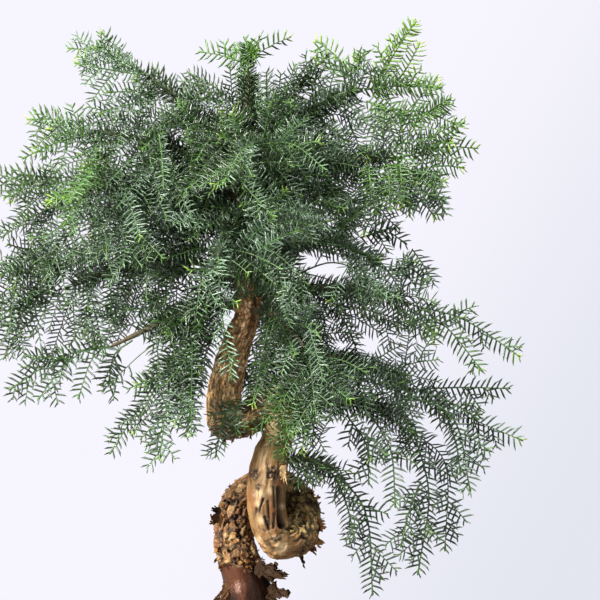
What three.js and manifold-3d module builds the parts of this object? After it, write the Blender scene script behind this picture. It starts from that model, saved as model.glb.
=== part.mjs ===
// Araucaria bonsai: a coiled trunk with limbs and needle sprays, planted in a footed tray.
// Millimetres, +Z up. X runs to the right of the front view, and the front looks towards +Y.
import * as THREE from 'three';
import { mergeVertices } from 'three/addons/utils/BufferGeometryUtils.js';
import Module from 'manifold-3d';

const wasm = await Module();
wasm.setup();

// Driving dimensions
const NEEDLE_LENGTH = 12;
const TIP_NEEDLE_LENGTH = 9;
const NEEDLE_LEAN_DEG = 60;
const TIP_NEEDLE_LEAN_DEG = 40;
const NEEDLE_BAND = 2.5;
const SHOOT_STEP = 12.5;
const SHOOT_PITCH = 21;
const SHOOT_FIRST_NEEDLES = 11;
const AXIS_RADIUS = [1.2, 0.8];
const SHOOT_RADIUS = [0.85, 0.65];
const SHOOT_LEAN_DEG = [58, 44];
const SHOOT_TAPER = 0.7;
const SHOOT_TURNS = [[0, 1], [25, 1], [-25, 1], [50, 0.9], [-50, 0.9], [0, 0.6]];
const SHOOT_SHORTEST = 10;
const TIP_CLEAR = 12;
const FORK_CLEAR = 6;
const SEAT_GAP = 0.35;
const SEAT_RADIUS = 1.9;
const LONG_LEAD = 6;
const SHOOT_GAP = 1.2;
const CLEAR = 0.4;

const POT_WALL = [
  // height, half length, half width, corner radius, from the underside round to the inner floor
  [12, 172, 112, 22],
  [16, 176, 116, 24],
  [64, 186, 126, 28],
  [66, 191, 131, 30],
  [76, 193, 133, 31],
  [78, 191, 131, 30],
  [78, 181, 121, 24],
  [76, 179, 119, 23],
  [26, 168, 108, 19],
  [20, 162, 102, 16],
];
const FOOT_CENTRE = [136, 82];
const FOOT_RINGS = [[0, 20, 12, 5], [1.5, 22, 14, 6], [14, 25, 17, 7]];
const DRAIN_X = 85;
const DRAIN_RADIUS = 13;
const MESH_SIZE = 38;
const MESH_THICK = 1.5;
const MESH_HOLE = 8;
const MESH_PITCH = 11.5;
const FIT_GAP = 0.3;
const SOIL_RINGS = [
  // the same four sizes, from the floor of the tray up its wall and over the mound
  [20.3, 161.6, 101.6, 16],
  [26.2, 167.6, 107.6, 19],
  [70, 177.3, 117.3, 22],
  [71.5, 164, 104, 20],
  [75, 112, 72, 30],
  [78.5, 56, 44, 24],
];
const SOIL_TOP = [8, 5, 80];

// Small helpers
const vec = (p) => new THREE.Vector3(p[0], p[1], p[2]);
const rad = THREE.MathUtils.degToRad;

function noise(i, k) {
  const s = Math.sin(i * 12.9898 + k * 78.233) * 43758.5453;
  return s - Math.floor(s);
}

function geometryOf(vertices, faces) {
  const geometry = new THREE.BufferGeometry();
  const flat = new Float32Array(vertices.length * 3);
  vertices.forEach((v, i) => v.toArray(flat, i * 3));
  geometry.setAttribute('position', new THREE.BufferAttribute(flat, 3));
  geometry.setIndex(faces.flat());
  return geometry;
}

function solidOf(source) {
  for (const name of Object.keys(source.attributes)) {
    if (name !== 'position') source.deleteAttribute(name);
  }
  const geometry = mergeVertices(source, 1e-4);
  return new wasm.Manifold(new wasm.Mesh({
    numProp: 3,
    vertProperties: new Float32Array(geometry.attributes.position.array),
    triVerts: new Uint32Array(geometry.index.array),
  }));
}

function geometryFromSolid(solid) {
  const mesh = solid.getMesh();
  const geometry = new THREE.BufferGeometry();
  geometry.setAttribute('position', new THREE.BufferAttribute(new Float32Array(mesh.vertProperties), 3));
  geometry.setIndex(Array.from(mesh.triVerts));
  return geometry;
}

const joined = (solids) => solids.reduce((a, b) => a.add(b));

// A closed skin through rings of equal count, with a fan at each end
function skin(rings, firstCentre, lastCentre) {
  const n = rings[0].length;
  const vertices = rings.flat();
  const faces = [];
  for (let j = 0; j + 1 < rings.length; j++) {
    for (let k = 0; k < n; k++) {
      const a = j * n + k;
      const b = j * n + (k + 1) % n;
      faces.push([a, b, a + n], [b, b + n, a + n]);
    }
  }
  const first = vertices.push(firstCentre) - 1;
  const last = vertices.push(lastCentre) - 1;
  const top = (rings.length - 1) * n;
  for (let k = 0; k < n; k++) {
    faces.push([first, (k + 1) % n, k], [top + k, top + (k + 1) % n, last]);
  }
  return geometryOf(vertices, faces);
}

function roundedRing(cx, cy, [z, halfX, halfY, corner], perCorner = 3) {
  const ring = [];
  const centres = [[1, 1, 0], [-1, 1, 90], [-1, -1, 180], [1, -1, 270]];
  for (const [sx, sy, start] of centres) {
    for (let k = 0; k <= perCorner; k++) {
      const a = rad(start + 90 * k / perCorner);
      const x = sx * (halfX - corner) + corner * Math.cos(a);
      const y = sy * (halfY - corner) + corner * Math.sin(a);
      ring.push(new THREE.Vector3(cx + x, cy + y, z));
    }
  }
  return ring;
}

function block(cx, cy, rings, perCorner = 3) {
  const list = rings.map((r) => roundedRing(cx, cy, r, perCorner));
  const low = new THREE.Vector3(cx, cy, rings[0][0]);
  const high = new THREE.Vector3(cx, cy, rings[rings.length - 1][0]);
  return skin(list, low, high);
}

// A line through control points, walked by length
class Strand {
  constructor(points, samples = 24) {
    const list = points.map((p) => (p.isVector3 ? p : vec(p)));
    const curve = new THREE.CatmullRomCurve3(list, false, 'catmullrom', 0.5);
    this.points = curve.getPoints(samples * (points.length - 1));
    this.at = [0];
    for (let i = 1; i < this.points.length; i++) {
      this.at.push(this.at[i - 1] + this.points[i].distanceTo(this.points[i - 1]));
    }
    this.length = this.at[this.at.length - 1];
    this.knots = points.length - 1;
    this.samples = samples;
  }
  place(s) {
    let i = 1;
    while (i < this.at.length - 1 && this.at[i] < s) i++;
    const f = (s - this.at[i - 1]) / (this.at[i] - this.at[i - 1]);
    return { i, f };
  }
  pos(s) {
    const { i, f } = this.place(s);
    return this.points[i - 1].clone().lerp(this.points[i], f);
  }
  tan(s) {
    const step = Math.min(2, this.length / 8);
    const a = this.pos(Math.max(0, s - step));
    const b = this.pos(Math.min(this.length, s + step));
    return b.sub(a).normalize();
  }
  knot(s) {
    const { i, f } = this.place(s);
    return (i - 1 + f) / this.samples;
  }
}

// A woody tube along a strand, with rounded ends and low ridges of bark
function woodTube(points, radii, sides, step, opts = {}) {
  const strand = new Strand(points);
  const count = Math.max(2, Math.round(strand.length / step));
  const grow = opts.grow ?? 0;
  const relief = opts.relief ?? 0;
  const radiusAt = (s) => {
    const k = strand.knot(s);
    const i = Math.min(radii.length - 2, Math.floor(k));
    const f = THREE.MathUtils.smoothstep(k - i, 0, 1);
    return radii[i] + (radii[i + 1] - radii[i]) * f + grow;
  };
  let normal = new THREE.Vector3(0.3, -1, 0.2);
  const rings = [];
  const ring = (centre, t, r, s) => {
    normal.addScaledVector(t, -normal.dot(t)).normalize();
    const side = new THREE.Vector3().crossVectors(t, normal);
    const list = [];
    for (let k = 0; k < sides; k++) {
      const a = 2 * Math.PI * k / sides;
      const wave = Math.sin(3 * a + s * 0.021) * 0.6 + Math.sin(4 * a - s * 0.034 + 1) * 0.4;
      const f = r * (1 + relief * wave);
      const v = centre.clone().addScaledVector(normal, f * Math.cos(a));
      list.push(v.addScaledVector(side, f * Math.sin(a)));
    }
    rings.push(list);
  };
  const t0 = opts.startTan ?? strand.tan(0);
  const t1 = opts.endTan ?? strand.tan(strand.length);
  const p0 = strand.pos(0);
  const p1 = strand.pos(strand.length);
  const r0 = radiusAt(0);
  const r1 = radiusAt(strand.length);
  if (!opts.flatStart) ring(p0.clone().addScaledVector(t0, -0.6 * r0), t0, 0.76 * r0, 0);
  for (let j = 0; j <= count; j++) {
    const s = strand.length * j / count;
    const t = j === 0 ? t0 : j === count ? t1 : strand.tan(s);
    ring(strand.pos(s), t, radiusAt(s), s);
  }
  if (!opts.flatEnd) ring(p1.clone().addScaledVector(t1, 0.6 * r1), t1, 0.76 * r1, strand.length);
  const startPole = p0.clone().addScaledVector(t0, opts.flatStart ? 0 : -0.92 * r0);
  const endPole = p1.clone().addScaledVector(t1, opts.flatEnd ? 0 : 0.92 * r1);
  const segments = [];
  for (let j = 0; j < count; j++) {
    const a = strand.length * j / count;
    const b = strand.length * (j + 1) / count;
    const r = Math.max(radiusAt(a), radiusAt(b)) * (1 + relief);
    segments.push({ p: strand.pos(a), q: strand.pos(b), r });
  }
  return { strand, radiusAt, segments, geometry: skin(rings, startPole, endPole) };
}

// Trunk centre line with its radius: up the lower stem and round the coil behind the front stem,
// then up the front stem, left round the bend and up through the crown
const COIL = [
  [9, 5, 48, 25],
  [8, 5, 72, 31],
  [2, 4, 105, 27.5],
  [-12, 0, 150, 25.5],
  [-18, 0, 175, 21.5],
  [-26, 3, 200, 20],
  [-29, 9, 222, 18.5],
  [-22, 17, 244, 18.5],
  [-6, 23, 259, 18.5],
  [14, 25, 262, 18.5],
  [33, 17, 249, 18],
  [42, 2, 231, 17.5],
  [34, -15, 213, 17.5],
  [17, -25, 210, 18],
];
const STEM = [
  [17, -25, 210, 18],
  [8, -27, 228, 18],
  [5, -27, 250, 18.5],
  [6, -26, 275, 18.5],
  [9, -24, 297, 17.5],
  [15, -19, 316, 17.5],
  [22, -12, 334, 17.5],
  [26, -5, 348, 17],
];
const BEND = [
  [26, -5, 348, 17],
  [8, 3, 346, 17],
  [-14, 0, 332, 17],
  [-37, -6, 328, 18],
];
const CROWN = [
  [-37, -6, 328, 18],
  [-38, -9, 352, 17.5],
  [-33, -8, 380, 16.5],
  [-24, -4, 410, 14.5],
  [-14, 0, 438, 12.5],
  [-18, 2, 470, 11],
  [-24, 0, 510, 10],
  [-26, 0, 550, 9],
  [-20, 2, 600, 7.5],
  [-14, 0, 640, 5.5],
  [-14, -2, 672, 3.2],
];

// Peeling bark: sheets that stand off the trunk, each a line of points, its width at both ends,
// and the direction its width runs in
const FLAKES = [
  [[[-7, -8, 178], [7, -16, 179], [17, -18, 180], [21, -13, 181]], [18, 11], [0.1, 0, 1]],
  [[[8, -12, 150], [17, -17, 151], [22, -17, 152], [24, -12, 151]], [24, 13], [0.1, 0, 1]],
  [[[-36, -4, 162], [-44, -8, 163], [-49, -8, 162], [-51, -4, 161]], [18, 9], [0, 0, 1]],
  [[[-35, 5, 233], [-46, -1, 238], [-53, -2, 241]], [9, 6], [0, 0.8, 0.5]],
  [[[52, -2, 222], [58, -6, 225], [62, -5, 230]], [11, 7], [0.3, 0.9, 0.2]],
  [[[46, -14, 214], [55, -20, 214], [60, -19, 213]], [10, 6], [0, 0, 1]],
  [[[18, -38, 284], [24, -42, 285], [29, -41, 285]], [22, 14], [0, 0, 1]],
];

// Surface roots: heading in degrees, reach, and the radius where each leaves the trunk
const ROOTS = [[15, 92, 11], [78, 80, 10], [140, 96, 12], [198, 104, 12], [255, 78, 10], [318, 88, 11]];

// Limbs: control points, then the radius at the trunk and at the end
const LIMBS = {
  upper_right: [[[-20, 2, 600], [20, 5, 625], [60, 0, 646], [92, -4, 657]], 5, 2.6],
  upper_left: [[[-22, 0, 585], [-60, -8, 630], [-92, -10, 658], [-116, -12, 675]], 4.5, 2.4],
  left_high: [[[-25, 0, 560], [-80, -20, 598], [-128, -30, 611], [-160, -34, 616]], 5, 2.4],
  left_mid: [[[-24, 0, 515], [-80, -30, 545], [-138, -45, 559], [-180, -49, 562]], 5.5, 2.4],
  left_low: [[[-20, 2, 480], [-80, 10, 490], [-140, 15, 482], [-190, 11, 465]], 5.5, 2.4],
  left_drop: [[[-16, 0, 445], [-60, -20, 442], [-102, -34, 426], [-140, -39, 408]], 5, 2.3],
  right_high: [[[-25, 0, 560], [30, -10, 585], [88, -15, 590], [130, -15, 591]], 5.5, 2.4],
  right_mid: [[[-22, 0, 492], [40, -20, 508], [80, -25, 506], [115, -25, 486]], 5, 2.4],
  right_long: [[[-15, 0, 440], [30, -5, 460], [90, -10, 461], [140, -12, 448]], 5.5, 2.4],
  right_low: [[[26, -5, 352], [40, -5, 382], [68, -8, 392], [108, -12, 381], [140, -12, 365]], 5.5, 2.4],
  cascade: [[[20, -14, 328], [52, -2, 345], [100, -5, 347], [140, -9, 335]], 5, 2.3],
  low_right: [[[9, -22, 288], [42, -18, 292], [68, -16, 284]], 4.5, 2.3],
  back_high: [[[-20, 2, 600], [-10, 55, 622], [0, 95, 630]], 4, 2.4],
  back_mid: [[[-25, 0, 530], [-38, 60, 548], [-48, 112, 551]], 4.5, 2.4],
  back_right: [[[-25, 0, 545], [36, 62, 558], [74, 105, 556]], 4.5, 2.4],
  back_low: [[[-16, 2, 462], [18, 60, 464], [42, 102, 450]], 4.5, 2.4],
  back_left: [[[-18, 2, 470], [-75, 62, 480], [-108, 100, 474]], 4.5, 2.4],
  front_mid: [[[-24, 0, 500], [-34, -50, 506], [-40, -88, 496]], 4.5, 2.4],
  front_high: [[[-22, 0, 578], [-15, -50, 598], [-7, -86, 602]], 4, 2.4],
  front_low: [[[-14, -2, 440], [16, -50, 434], [34, -78, 414]], 4, 2.3],
};

// Sprays: the base, middle and tip of the axis, then the length of the side shoots, the turn of
// the frond's plane from the front plane in degrees, and how far its shoots droop. A fork leaves
// the axis after some length, and has its own middle, tip and side shoots.
const SPRAYS = [
  {
    name: 'spray_crown',
    ends: 'trunk',
    axis: [[-14, -3, 681], [-15, -3, 696], [-17, -2, 712]],
    side: 14,
    roll: 30,
    droop: 0,
    forks: [
      [3, [-40, -6, 694], [-62, -5, 698], 20, 20],
      [7, [8, -10, 703], [28, -8, 712], 18, 50],
      [11, [-10, -38, 694], [-6, -62, 688], 20, 60],
      [15, [-22, 32, 702], [-30, 58, 698], 20, 60],
    ],
  },
  {
    name: 'spray_upper_left_long',
    ends: 'upper_left',
    axis: [[-126, -13, 681], [-158, -16, 697], [-192, -20, 700]],
    side: 26,
    roll: 20,
    droop: 0.1,
    forks: [
      [6, [-146, -2, 703], [-162, 4, 718], 22, 50],
    ],
  },
  {
    name: 'spray_upper_left_low',
    axis: [[-104, -26, 652], [-128, -34, 656], [-153, -38, 655]],
    side: 26,
    roll: 10,
    droop: 0.15,
  },
  {
    name: 'spray_upper_left_slope',
    axis: [[-72, 14, 640], [-92, 32, 664], [-112, 42, 686]],
    side: 24,
    roll: 15,
    droop: 0.1,
  },
  {
    name: 'spray_left_high',
    ends: 'left_high',
    axis: [[-170, -36, 618], [-200, -41, 628], [-230, -43, 628]],
    side: 24,
    roll: 25,
    droop: 0.15,
    forks: [
      [6, [-202, -30, 607], [-236, -34, 590], 24, 10],
    ],
  },
  {
    name: 'spray_left_high_hanging',
    axis: [[-138, -44, 608], [-152, -54, 590], [-160, -58, 560]],
    side: 26,
    roll: 30,
    droop: 0.2,
  },
  {
    name: 'spray_left_high_inner',
    axis: [[-102, -38, 598], [-98, -56, 580], [-96, -62, 548]],
    side: 28,
    roll: 20,
    droop: 0.2,
  },
  {
    name: 'spray_left_mid',
    ends: 'left_mid',
    axis: [[-190, -50, 563], [-230, -52, 573], [-266, -52, 558]],
    side: 26,
    roll: 10,
    droop: 0.3,
  },
  {
    name: 'spray_left_mid_front',
    axis: [[-152, -60, 563], [-172, -86, 562], [-188, -106, 546]],
    side: 26,
    roll: 35,
    droop: 0.2,
  },
  {
    name: 'spray_left_mid_low',
    axis: [[-182, -42, 548], [-220, -42, 535], [-256, -43, 512]],
    side: 26,
    roll: 20,
    droop: 0.2,
  },
  {
    name: 'spray_left_mid_inner',
    axis: [[-118, -56, 547], [-135, -80, 530], [-150, -88, 500]],
    side: 28,
    roll: 25,
    droop: 0.2,
  },
  {
    name: 'spray_left_low',
    ends: 'left_low',
    axis: [[-200, 8, 461], [-238, 5, 450], [-274, 0, 425]],
    side: 26,
    roll: 15,
    droop: 0.2,
    forks: [
      [6, [-216, -16, 440], [-229, -22, 414], 22, 30],
    ],
  },
  {
    name: 'spray_left_low_hanging',
    axis: [[-165, 2, 470], [-174, -6, 448], [-176, -10, 416]],
    side: 26,
    roll: 10,
    droop: 0.2,
  },
  {
    name: 'spray_left_low_back',
    axis: [[-158, 26, 486], [-200, 46, 490], [-245, 60, 478]],
    side: 26,
    roll: 30,
    droop: 0.2,
  },
  {
    name: 'spray_left_low_upper',
    axis: [[-196, -2, 474], [-240, -18, 481], [-282, -26, 466]],
    side: 24,
    roll: 20,
    droop: 0.2,
  },
  {
    name: 'spray_left_drop',
    ends: 'left_drop',
    axis: [[-150, -41, 404], [-197, -46, 394], [-248, -48, 362]],
    side: 24,
    roll: 15,
    droop: 0.2,
    forks: [
      [7, [-168, -58, 388], [-179, -62, 354], 22, 20],
    ],
  },
  {
    name: 'spray_left_drop_inner',
    axis: [[-128, -26, 410], [-146, -22, 396], [-152, -20, 368]],
    side: 22,
    roll: 20,
    droop: 0.2,
  },
  {
    name: 'spray_low_left_long',
    axis: [[-64, -36, 428], [-102, -54, 372], [-148, -62, 300]],
    side: 26,
    roll: 15,
    droop: 0.15,
    forks: [
      [8, [-112, -34, 402], [-157, -38, 360], 24, 30],
    ],
  },
  {
    name: 'spray_low_left_mid',
    axis: [[-52, -48, 436], [-80, -72, 378], [-103, -76, 304]],
    side: 26,
    roll: 20,
    droop: 0.15,
  },
  {
    name: 'spray_low_left_inner',
    axis: [[-42, -28, 430], [-62, -44, 376], [-75, -48, 316]],
    side: 22,
    roll: 10,
    droop: 0.15,
  },
  {
    name: 'spray_front_hanging',
    ends: 'front_mid',
    axis: [[-41, -98, 492], [-38, -124, 445], [-27, -118, 374]],
    side: 20,
    roll: 25,
    droop: 0.1,
    forks: [
      [6, [-56, -126, 468], [-62, -128, 430], 20, 20],
    ],
  },
  {
    name: 'spray_bend_hanging',
    axis: [[-30, -34, 350], [-38, -50, 330], [-45, -55, 296]],
    side: 16,
    roll: 20,
    droop: 0.1,
  },
  {
    name: 'spray_stem_hanging',
    axis: [[30, -46, 372], [26, -60, 334], [22, -60, 292]],
    side: 16,
    roll: 15,
    droop: 0.1,
  },
  {
    name: 'spray_front_high',
    ends: 'front_high',
    axis: [[-7, -97, 601], [-20, -134, 590], [-35, -150, 560]],
    side: 28,
    roll: 20,
    droop: 0.2,
    forks: [
      [5, [30, -118, 600], [62, -132, 575], 28, 30],
    ],
  },
  {
    name: 'spray_front_mid',
    axis: [[-20, -64, 508], [22, -88, 525], [60, -98, 520]],
    side: 30,
    roll: 25,
    droop: 0.2,
  },
  {
    name: 'spray_front_low',
    ends: 'front_low',
    axis: [[42, -87, 405], [62, -104, 388], [84, -112, 356]],
    side: 26,
    roll: 20,
    droop: 0.2,
  },
  {
    name: 'spray_upper_right',
    ends: 'upper_right',
    axis: [[102, -4, 660], [140, -5, 664], [178, -8, 661]],
    side: 28,
    roll: 15,
    droop: 0.1,
    forks: [
      [8, [130, 2, 698], [153, 0, 728], 14, 20],
    ],
  },
  {
    name: 'spray_upper_right_top',
    axis: [[84, -6, 664], [76, -10, 690], [54, -12, 709]],
    side: 18,
    roll: 20,
    droop: 0.1,
    forks: [
      [8, [96, -28, 686], [102, -44, 696], 14, 40],
    ],
  },
  {
    name: 'spray_upper_right_low',
    axis: [[104, -16, 648], [148, -20, 633], [186, -22, 646]],
    side: 26,
    roll: 10,
    droop: 0.15,
  },
  {
    name: 'spray_right_high',
    ends: 'right_high',
    axis: [[140, -15, 592], [178, -17, 602], [214, -18, 601]],
    side: 26,
    roll: 15,
    droop: 0.2,
    forks: [
      [6, [166, -2, 611], [198, 2, 628], 20, 40],
    ],
  },
  {
    name: 'spray_right_high_low',
    axis: [[130, -26, 583], [162, -32, 570], [180, -34, 538]],
    side: 26,
    roll: 20,
    droop: 0.2,
  },
  {
    name: 'spray_right_high_inner',
    axis: [[104, -26, 580], [114, -40, 560], [116, -44, 525]],
    side: 28,
    roll: 20,
    droop: 0.2,
  },
  {
    name: 'spray_right_mid',
    ends: 'right_mid',
    axis: [[124, -26, 479], [145, -29, 482], [164, -31, 468]],
    side: 22,
    roll: 20,
    droop: 0.2,
  },
  {
    name: 'spray_right_mid_low',
    axis: [[92, -36, 496], [94, -46, 480], [96, -50, 452]],
    side: 24,
    roll: 25,
    droop: 0.2,
  },
  {
    name: 'spray_right_mid_top',
    axis: [[98, -16, 512], [124, -8, 518], [144, -4, 506]],
    side: 22,
    roll: 20,
    droop: 0.2,
  },
  {
    name: 'spray_right_long',
    ends: 'right_long',
    axis: [[150, -13, 445], [202, -16, 430], [256, -20, 394]],
    side: 26,
    roll: 30,
    droop: 0.15,
    forks: [
      [8, [186, -32, 420], [217, -36, 381], 18, 10],
    ],
  },
  {
    name: 'spray_right_low',
    ends: 'right_low',
    axis: [[150, -12, 361], [200, -14, 363], [246, -16, 362]],
    side: 20,
    roll: 15,
    droop: 0.15,
    forks: [
      [8, [205, -26, 334], [258, -28, 311], 24, 20],
    ],
  },
  {
    name: 'spray_right_low_hanging',
    axis: [[132, -22, 358], [188, -40, 335], [206, -40, 262]],
    side: 30,
    roll: 10,
    droop: 0.15,
  },
  {
    name: 'spray_cascade',
    ends: 'cascade',
    axis: [[148, -12, 328], [166, -18, 258], [155, -20, 178]],
    side: 28,
    roll: 15,
    droop: 0.1,
    forks: [
      [8, [184, 4, 284], [183, -2, 200], 24, 10],
    ],
  },
  {
    name: 'spray_cascade_inner',
    axis: [[110, -16, 334], [128, -34, 300], [132, -40, 246]],
    side: 26,
    roll: 20,
    droop: 0.15,
  },
  {
    name: 'spray_low_right',
    ends: 'low_right',
    axis: [[76, -17, 278], [104, -22, 236], [110, -24, 158]],
    side: 26,
    roll: 15,
    droop: 0.1,
  },
  {
    name: 'spray_low_right_top',
    axis: [[84, -14, 336], [104, -24, 306], [106, -28, 268]],
    side: 20,
    roll: 20,
    droop: 0.1,
  },
  {
    name: 'spray_back_high',
    ends: 'back_high',
    axis: [[1, 106, 630], [14, 128, 622], [26, 142, 598]],
    side: 30,
    roll: 10,
    droop: 0.2,
    forks: [
      [5, [-28, 122, 632], [-58, 132, 618], 28, 20],
    ],
  },
  {
    name: 'spray_back_mid',
    ends: 'back_mid',
    axis: [[-51, 123, 550], [-70, 142, 540], [-86, 150, 512]],
    side: 30,
    roll: 15,
    droop: 0.2,
    forks: [
      [5, [-34, 146, 546], [-14, 158, 524], 28, 20],
    ],
  },
  {
    name: 'spray_back_right',
    ends: 'back_right',
    axis: [[82, 114, 555], [112, 128, 548], [142, 134, 524]],
    side: 30,
    roll: 20,
    droop: 0.2,
    forks: [
      [6, [82, 142, 540], [80, 152, 506], 26, 10],
    ],
  },
  {
    name: 'spray_back_low',
    ends: 'back_low',
    axis: [[48, 112, 445], [62, 130, 424], [70, 140, 388]],
    side: 30,
    roll: 15,
    droop: 0.2,
    forks: [
      [5, [86, 120, 436], [122, 124, 416], 26, 20],
    ],
  },
  {
    name: 'spray_back_left',
    ends: 'back_left',
    axis: [[-116, 109, 472], [-146, 122, 462], [-176, 128, 436]],
    side: 30,
    roll: 15,
    droop: 0.2,
    forks: [
      [6, [-112, 134, 456], [-110, 142, 420], 26, 10],
    ],
  },
  {
    name: 'spray_back_upper_left',
    axis: [[-62, 66, 566], [-104, 84, 578], [-146, 92, 568]],
    side: 30,
    roll: 20,
    droop: 0.2,
  },
  {
    name: 'spray_back_upper_right',
    axis: [[22, 62, 586], [66, 74, 604], [108, 78, 596]],
    side: 30,
    roll: 15,
    droop: 0.2,
  },
  {
    name: 'spray_inner_left',
    axis: [[-66, 28, 512], [-96, 36, 532], [-124, 34, 528]],
    side: 26,
    roll: 15,
    droop: 0.2,
  },
  {
    name: 'spray_inner_right',
    axis: [[34, 26, 476], [70, 34, 488], [104, 30, 478]],
    side: 28,
    roll: 20,
    droop: 0.2,
  },
  {
    name: 'spray_top_right',
    axis: [[8, 6, 636], [32, 4, 656], [50, -4, 684]],
    side: 28,
    roll: 20,
    droop: 0.15,
    forks: [
      [6, [40, 20, 640], [66, 28, 660], 22, 40],
    ],
  },
  {
    name: 'spray_top_left',
    axis: [[-26, -4, 644], [-46, -6, 662], [-74, -8, 677]],
    side: 28,
    roll: 20,
    droop: 0.15,
    forks: [
      [6, [-52, -24, 648], [-82, -36, 644], 22, 20],
    ],
  },
  {
    name: 'spray_upper_left_inner',
    axis: [[-66, -20, 624], [-86, -36, 628], [-114, -46, 612]],
    side: 28,
    roll: 20,
    droop: 0.2,
  },
  {
    name: 'spray_inner_top',
    axis: [[-34, -18, 606], [-52, -34, 618], [-70, -44, 606]],
    side: 24,
    roll: 20,
    droop: 0.2,
  },
];

// Distance between two straight pieces of line
function gapBetween(a, b) {
  const d1 = a.q.clone().sub(a.p);
  const d2 = b.q.clone().sub(b.p);
  const r = a.p.clone().sub(b.p);
  const A = d1.dot(d1);
  const E = d2.dot(d2);
  const F = d2.dot(r);
  const C = d1.dot(r);
  const B = d1.dot(d2);
  const denom = A * E - B * B;
  let s = denom > 1e-9 ? THREE.MathUtils.clamp((B * F - C * E) / denom, 0, 1) : 0;
  let t = (B * s + F) / E;
  if (t < 0) {
    t = 0;
    s = THREE.MathUtils.clamp(-C / A, 0, 1);
  } else if (t > 1) {
    t = 1;
    s = THREE.MathUtils.clamp((B - C) / A, 0, 1);
  }
  const p = a.p.clone().addScaledVector(d1, s);
  const q = b.p.clone().addScaledVector(d2, t);
  return p.distanceTo(q);
}

// Wood: trunk, limbs and roots
const wood = [];
const woodSegments = [];
const limbStrands = [];

function addWood(tube) {
  wood.push(solidOf(tube.geometry));
  woodSegments.push(...tube.segments);
  return tube;
}

const line = (rows) => [rows.map((r) => r.slice(0, 3)), rows.map((r) => r[3])];
addWood(woodTube(...line(COIL), 12, 12.5, { relief: 0.05 }));
addWood(woodTube(...line(STEM), 12, 14, { relief: 0.06 }));
addWood(woodTube(...line(BEND), 10, 14, { relief: 0.05 }));
const crownSeat = seatOf(SPRAYS[0]);
const crownLine = [...CROWN, [...crownSeat.end.toArray(), SEAT_RADIUS]];
const crownOptions = { relief: 0.04, flatEnd: true, endTan: crownSeat.heading };
const crownTube = addWood(woodTube(...line(crownLine), 9, 22, crownOptions));

// Where a spray's base sits, and the end of the wood that carries it
function seatOf(row) {
  const axis = new Strand(row.axis);
  const heading = axis.tan(0);
  return { axis, heading, end: axis.pos(0).addScaledVector(heading, -SEAT_GAP) };
}

function rootTube([heading, reach, radius], grow) {
  const a = rad(heading);
  const at = (d, z, turn) => [8 + d * Math.cos(a + turn), 5 + d * Math.sin(a + turn), z];
  const points = [at(8, 90, 0), at(34, 81, 0.05), at(reach * 0.68, 73, -0.08), at(reach, 60, 0.06)];
  return woodTube(points, [radius, radius * 0.8, radius * 0.5, radius * 0.3], 5, 30, { grow });
}
for (const root of ROOTS) addWood(rootTube(root, 0));

// A flake is a thin bent plate whose first end is sunk in the trunk
function flakePlate([points, widths, across]) {
  const strand = new Strand(points);
  const count = points.length;
  const rings = [];
  for (let j = 0; j < count; j++) {
    const s = strand.length * j / (count - 1);
    const t = strand.tan(s);
    const w = vec(across).addScaledVector(t, -vec(across).dot(t)).normalize();
    const n = new THREE.Vector3().crossVectors(t, w);
    const half = (widths[0] + (widths[1] - widths[0]) * j / (count - 1)) / 2;
    const c = strand.pos(s);
    const corners = [[1, 0.6], [-1, 0.6], [-1, -0.6], [1, -0.6]];
    rings.push(corners.map(([x, y]) => c.clone().addScaledVector(w, x * half).addScaledVector(n, y)));
  }
  return skin(rings, strand.pos(0), strand.pos(strand.length));
}
for (const flake of FLAKES) wood.push(solidOf(flakePlate(flake)));

for (const [name, [points, thick, thin]] of Object.entries(LIMBS)) {
  const index = SPRAYS.findIndex((row) => row.ends === name);
  const n = points.length - 1;
  const radii = points.map((_, i) => thick + (thin - thick) * i / n);
  const seat = seatOf(SPRAYS[index]);
  const options = { flatStart: true, flatEnd: true, endTan: seat.heading };
  limbStrands.push(addWood(woodTube([...points, seat.end], [...radii, SEAT_RADIUS], 4, 36, options)));
  limbStrands[limbStrands.length - 1].segments.slice(-1)[0].owner = index;
}
limbStrands.push(crownTube);

const trunkGeometry = geometryFromSolid(joined(wood));
const trunkSkin = new THREE.Mesh(trunkGeometry);

function nearestWood(point) {
  let best = null;
  for (const tube of limbStrands) {
    for (let s = 4; s < tube.strand.length - 4; s += 2) {
      const p = tube.strand.pos(s);
      const d = p.distanceTo(point) - tube.radiusAt(s);
      if (!best || d < best.d) best = { d, p };
    }
  }
  return best.p;
}

// A spray that ends no limb starts on the nearest face of the wood, flat to it
const sprays = SPRAYS.map((row, index) => {
  if (row.ends) return { row, index, axis: seatOf(row).axis, lead: 0 };
  const seat = vec(row.axis[0]);
  const inward = nearestWood(seat).sub(seat).normalize();
  const hit = new THREE.Raycaster(seat, inward).intersectObject(trunkSkin)[0];
  const normal = hit.face.normal.clone();
  const base = hit.point.clone().addScaledVector(inward, SEAT_GAP / inward.dot(normal));
  const lead = base.distanceTo(seat);
  const points = lead > LONG_LEAD ? [base, ...row.axis] : [base, ...row.axis.slice(1)];
  return { row, index, axis: new Strand(points), lead, face: normal };
});

// Layout of the green stems. Every line keeps clear of the wood and of the other sprays.
const stems = woodSegments.slice();

function segmentsOf(strand, radius, owner, from = 0) {
  const parts = Math.max(2, Math.ceil(strand.length / 12));
  const list = [];
  for (let i = 0; i < parts; i++) {
    const a = from + (strand.length - from) * i / parts;
    const b = from + (strand.length - from) * (i + 1) / parts;
    list.push({ p: strand.pos(a), q: strand.pos(b), r: radius, owner, strand });
  }
  return list;
}

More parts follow.
